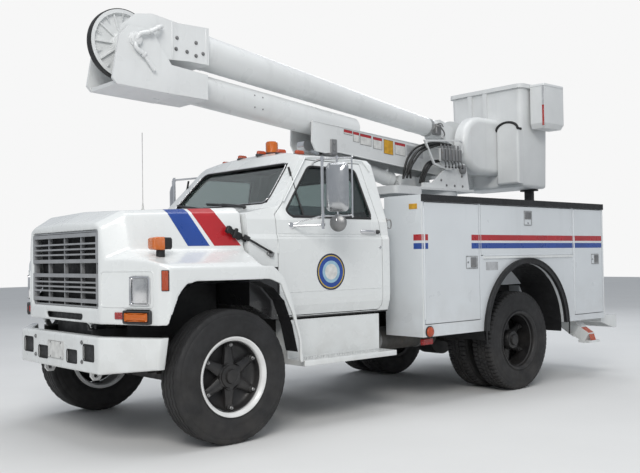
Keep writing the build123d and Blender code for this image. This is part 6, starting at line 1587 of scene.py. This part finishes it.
def cushion(name, low, high, lean, channels, facing_up, stands_for=()):
    """A bench pad: its block is remeshed, swollen as cloth, sewn into channels and smoothed."""
    bm = bmesh.new()
    bmesh.ops.create_cube(bm, size=1)
    size = [high[i] - low[i] for i in range(3)]
    for v in bm.verts:
        v.co = Vector([low[i] + (v.co[i] + 0.5) * size[i] for i in range(3)])
        v.co.x += lean * (v.co.z - low[2])
    bmesh.ops.bevel(bm, geom=bm.edges[:], offset=0.028, segments=3, affect="EDGES", profile=0.5)
    mesh = bpy.data.meshes.new(name)
    bm.to_mesh(mesh)
    bm.free()
    work = remeshed(name + "_work", mesh, 0.013)
    shaped = settled(work)
    bpy.data.objects.remove(work, do_unlink=True)
    start = [v.co.copy() for v in shaped.vertices]
    soft = link(bpy.data.objects.new(name + "_soft", shaped))
    cloth = soft.modifiers.new("cloth", "CLOTH")
    cloth.settings.quality = 4
    cloth.settings.use_pressure = True
    cloth.settings.uniform_pressure_force = 4
    cloth.settings.effector_weights.gravity = 0
    for step in range(1, 21):
        bpy.context.scene.frame_set(step)
    swollen = settled(soft)
    bpy.data.objects.remove(soft, do_unlink=True)
    bpy.context.scene.frame_set(1)
    for v, origin in zip(swollen.vertices, start):
        way = v.co - origin
        if way.length > SWELL:
            v.co = origin + way.normalized() * SWELL
    shaped = swollen
    first = low[1] + size[1] / channels
    for v in shaped.vertices:
        depth = 0
        for k in range(channels - 1):
            gap = abs(v.co.y - (first + k * size[1] / channels))
            depth = max(depth, exp(-(gap / 0.01) ** 2))
        if facing_up and v.co.z > (low[2] + high[2]) / 2:
            v.co.z -= SEAM * depth
        elif not facing_up and v.co.x - lean * (v.co.z - low[2]) > (low[0] + high[0]) / 2:
            v.co.x -= SEAM * depth
    made = piece(name, shaped, "chassis", "vinyl", smooth=0, stands_for=stands_for)
    for face in shaped.polygons:
        face.use_smooth = True
    finer = made.modifiers.new("finer", "SUBSURF")
    finer.levels = finer.render_levels = 1


cushion("bench_cushion", P(-1.64, -0.838, 1.152), P(-1.146, 0.838, 1.268), 0.0, 12, True, ("bench_seat",))
cushion("bench_back", P(-1.826, -0.838, 1.27), P(-1.7, 0.838, 1.832), -0.03, 12, False)
welt = []
for x, z in ((-1.15, 1.24), (-1.15, 1.172)):
    welt.append(pipe_mesh([P(x, -0.825, z), P(x + 0.002, 0, z), P(x, 0.825, z)], 0.004, 8, 0))
add("bench_piping", welt, "chassis", "rubber", 40)

# Underside: spring clips, shock absorbers, brake chambers, tank straps and filler, muffler bands

clips = []
for x, y, z, half in ((0.0, 0.394, 0.555, 0.05), (REAR_AXLE, 0.47, 0.7, 0.075)):
    for dx in (-half, half):
        for side in (-1, 1):
            clips.append(pipe_mesh([P(x + dx, side * y + dy, z + dz)
                for dy, dz in ((-0.046, -0.16), (-0.046, 0.085), (0.046, 0.085), (0.046, -0.16))], 0.009, 8,
                0))
            for dy in (-0.046, 0.046):
                clips += bolt(P(x + dx, side * y + dy, z - 0.15), (0, 0, -1), 0.014, 0.014)
add("spring_clips", clips, "chassis", "iron", 35)
shocks = []
for side in (-1, 1):
    foot, head = P(0.075, side * 0.52, 0.46), P(0.18, side * 0.47, 0.86)
    way = (head - foot).normalized()
    length = (head - foot).length
    shocks.append(capped([(0.02, -0.02), (0.034, 0.0), (0.034, length * 0.52), (0.022, length * 0.53),
        (0.01, length * 0.54), (0.01, length * 0.56), (0.04, length * 0.56), (0.04, length * 0.94),
        (0.018, length)], foot, way, 20))
    foot, head = P(REAR_AXLE + 0.16, side * 0.33, 0.47), P(REAR_AXLE + 0.27, side * 0.36, 0.85)
    way = (head - foot).normalized()
    shocks.append(capped([(0.02, -0.02), (0.036, 0.0), (0.036, 0.2), (0.012, 0.205), (0.012, 0.22),
        (0.042, 0.22), (0.042, 0.37), (0.018, 0.39)], foot, way, 20))
add("shock_absorbers", shocks, "chassis", "black", 40)
chambers = []
for side in (-1, 1):
    c = P(REAR_AXLE + 0.19, side * 0.215, 0.6)
    chambers.append(capped([(0.05, -0.005), (0.072, 0.01), (0.08, 0.045), (0.086, 0.05), (0.086, 0.062),
        (0.08, 0.067), (0.074, 0.105), (0.05, 0.125)], c, (0.3, side * 0.6, 0.5), 28))
    chambers.append(pipe_mesh([c + V(0.04, side * 0.07, 0.06), c + V(0.1, side * 0.05, 0.16),
        P(REAR_AXLE + 0.35, side * 0.36, 0.8)], 0.008, 8, 6))
add("brake_chambers", chambers, "chassis", "black", 40)
straps = []
for x in (-1.56, -1.26, -0.96):
    rings = []
    for place, grow in ((x, 0.0), (x, 0.003), (x + 0.045, 0.003), (x + 0.045, 0.0)):
        rings.append([P(place, y, z) for y, z in rounded(0.461 + 2 * grow, 0.401 + 2 * grow, 0.07 + grow, 6,
            (-0.676, 0.65))])
    straps.append(stack(rings, False, False))
add("tank_straps", straps, "chassis", "black", 40)
filler = [capped([(0.032, 0), (0.032, 0.05), (0.046, 0.052), (0.048, 0.072), (0.04, 0.08)],
    P(-1.08, -0.872, 0.81), (0, -0.75, 0.66), 24)]
add("tank_filler", filler, "chassis", "steel", 40)
clamps = []
for x in (-2.7, -2.1, -1.5):
    clamps.append(lathe([(0.1165, 0), (0.1195, 0.002), (0.1195, 0.028), (0.1165, 0.03)], P(x, 0.567, 0.6),
        (1, 0, 0), 40, closed=True))
add("muffler_bands", clamps, "chassis", "steel", 40)

# Bucket: its rest post and the bands over its leg rooms, and the outriggers' reflective patches

post = [slab(facing(P(-4.99, 0.4, 2.1), *UPWARD_AHEAD), (0.06, 0.11, 0.012),
    [(-0.9995, 0), (0.07, 0.0), (0.072, 0.002)]), slab(facing(P(-4.99, 0.4, 1.101), *UPWARD_AHEAD),
    (0.16, 0.21, 0.02), [(0, 0), (0.01, 0), (0.012, 0.002)]), slab(facing(P(-4.99, 0.4, 2.172),
    *UPWARD_AHEAD), (0.09, 0.22, 0.02), [(-0.004, 0), (0.01, 0), (0.0145, 0.004)])]
add("bucket_rest", post, "chassis", "rubber", 40)
both("outrigger_patch", [laid([P(-4.955, 1.155, 1.2), P(-4.845, 1.155, 1.2), P(-4.845, 1.282, 1.2),
    P(-4.955, 1.282, 1.2)], "left_outrigger", (0, 0, -1), 0.0015, 0.03)], ("left_leg", "right_leg"),
    "amberdeep", 30)
bands = []
for middle in (0.456, -0.256):
    arc = [P(-4.486, middle + 0.15 * cos(a), 2.872 + 0.084 * sin(a))
        for a in [pi * k / 16 for k in range(17)]]
    arc = [P(-4.54, middle + 0.158, 2.868)] + arc + [P(-4.54, middle - 0.158, 2.868)]
    bands.append(pipe_mesh(arc, 0.015, 10, 2))
add("leg_room_bands", bands, "platform", "rubber", 50)

# Studio: a pale floor, a soft key from the front left, a fill and a pale sky
floor_mesh = raw("floor", [(-40, -40, 0), (40, -40, 0), (40, 40, 0), (-40, 40, 0)], [(0, 1, 2, 3)])
floor = link(bpy.data.objects.new("floor", floor_mesh))
floor_mesh.materials.append(shader("floor_grey", (0.74, 0.74, 0.73), 0.75, vary=0.01, vary_scale=0.6))

world = bpy.data.worlds.new("studio")
bpy.context.scene.world = world
world.use_nodes = True
wn = world.node_tree
background = wn.nodes["Background"]
rays = shader_node(wn, "LightPath").outputs
seen = maths(wn, "MAXIMUM", rays["Is Camera Ray"], rays["Is Transmission Ray"])
wn.links.new(mixed(wn, seen, (0.45, 0.475, 0.51), (0.93, 0.93, 0.93)), background.inputs["Color"])
background.inputs["Strength"].default_value = 1.0


def area(name, place, aim, size, power, tint=(1, 1, 1)):
    """A rectangular light that looks at a point."""
    data = bpy.data.lights.new(name, "AREA")
    data.shape = "RECTANGLE"
    data.size, data.size_y = size
    data.energy = power
    data.color = tint
    obj = link(bpy.data.objects.new(name, data))
    obj.location = place
    obj.rotation_mode = "QUATERNION"
    obj.rotation_quaternion = (Vector(aim) - Vector(place)).to_track_quat("-Z", "Y")


area("key", (9.5, 9.0, 9.5), (0.5, 0, 1.2), (6, 5), 1020, (1.0, 0.98, 0.95))
area("overhead", (0, 1, 12), (0, 0, 1), (9, 7), 470)
area("rear_fill", (-9, -7, 7), (0, 0, 1.5), (6, 4), 260, (0.93, 0.96, 1.0))
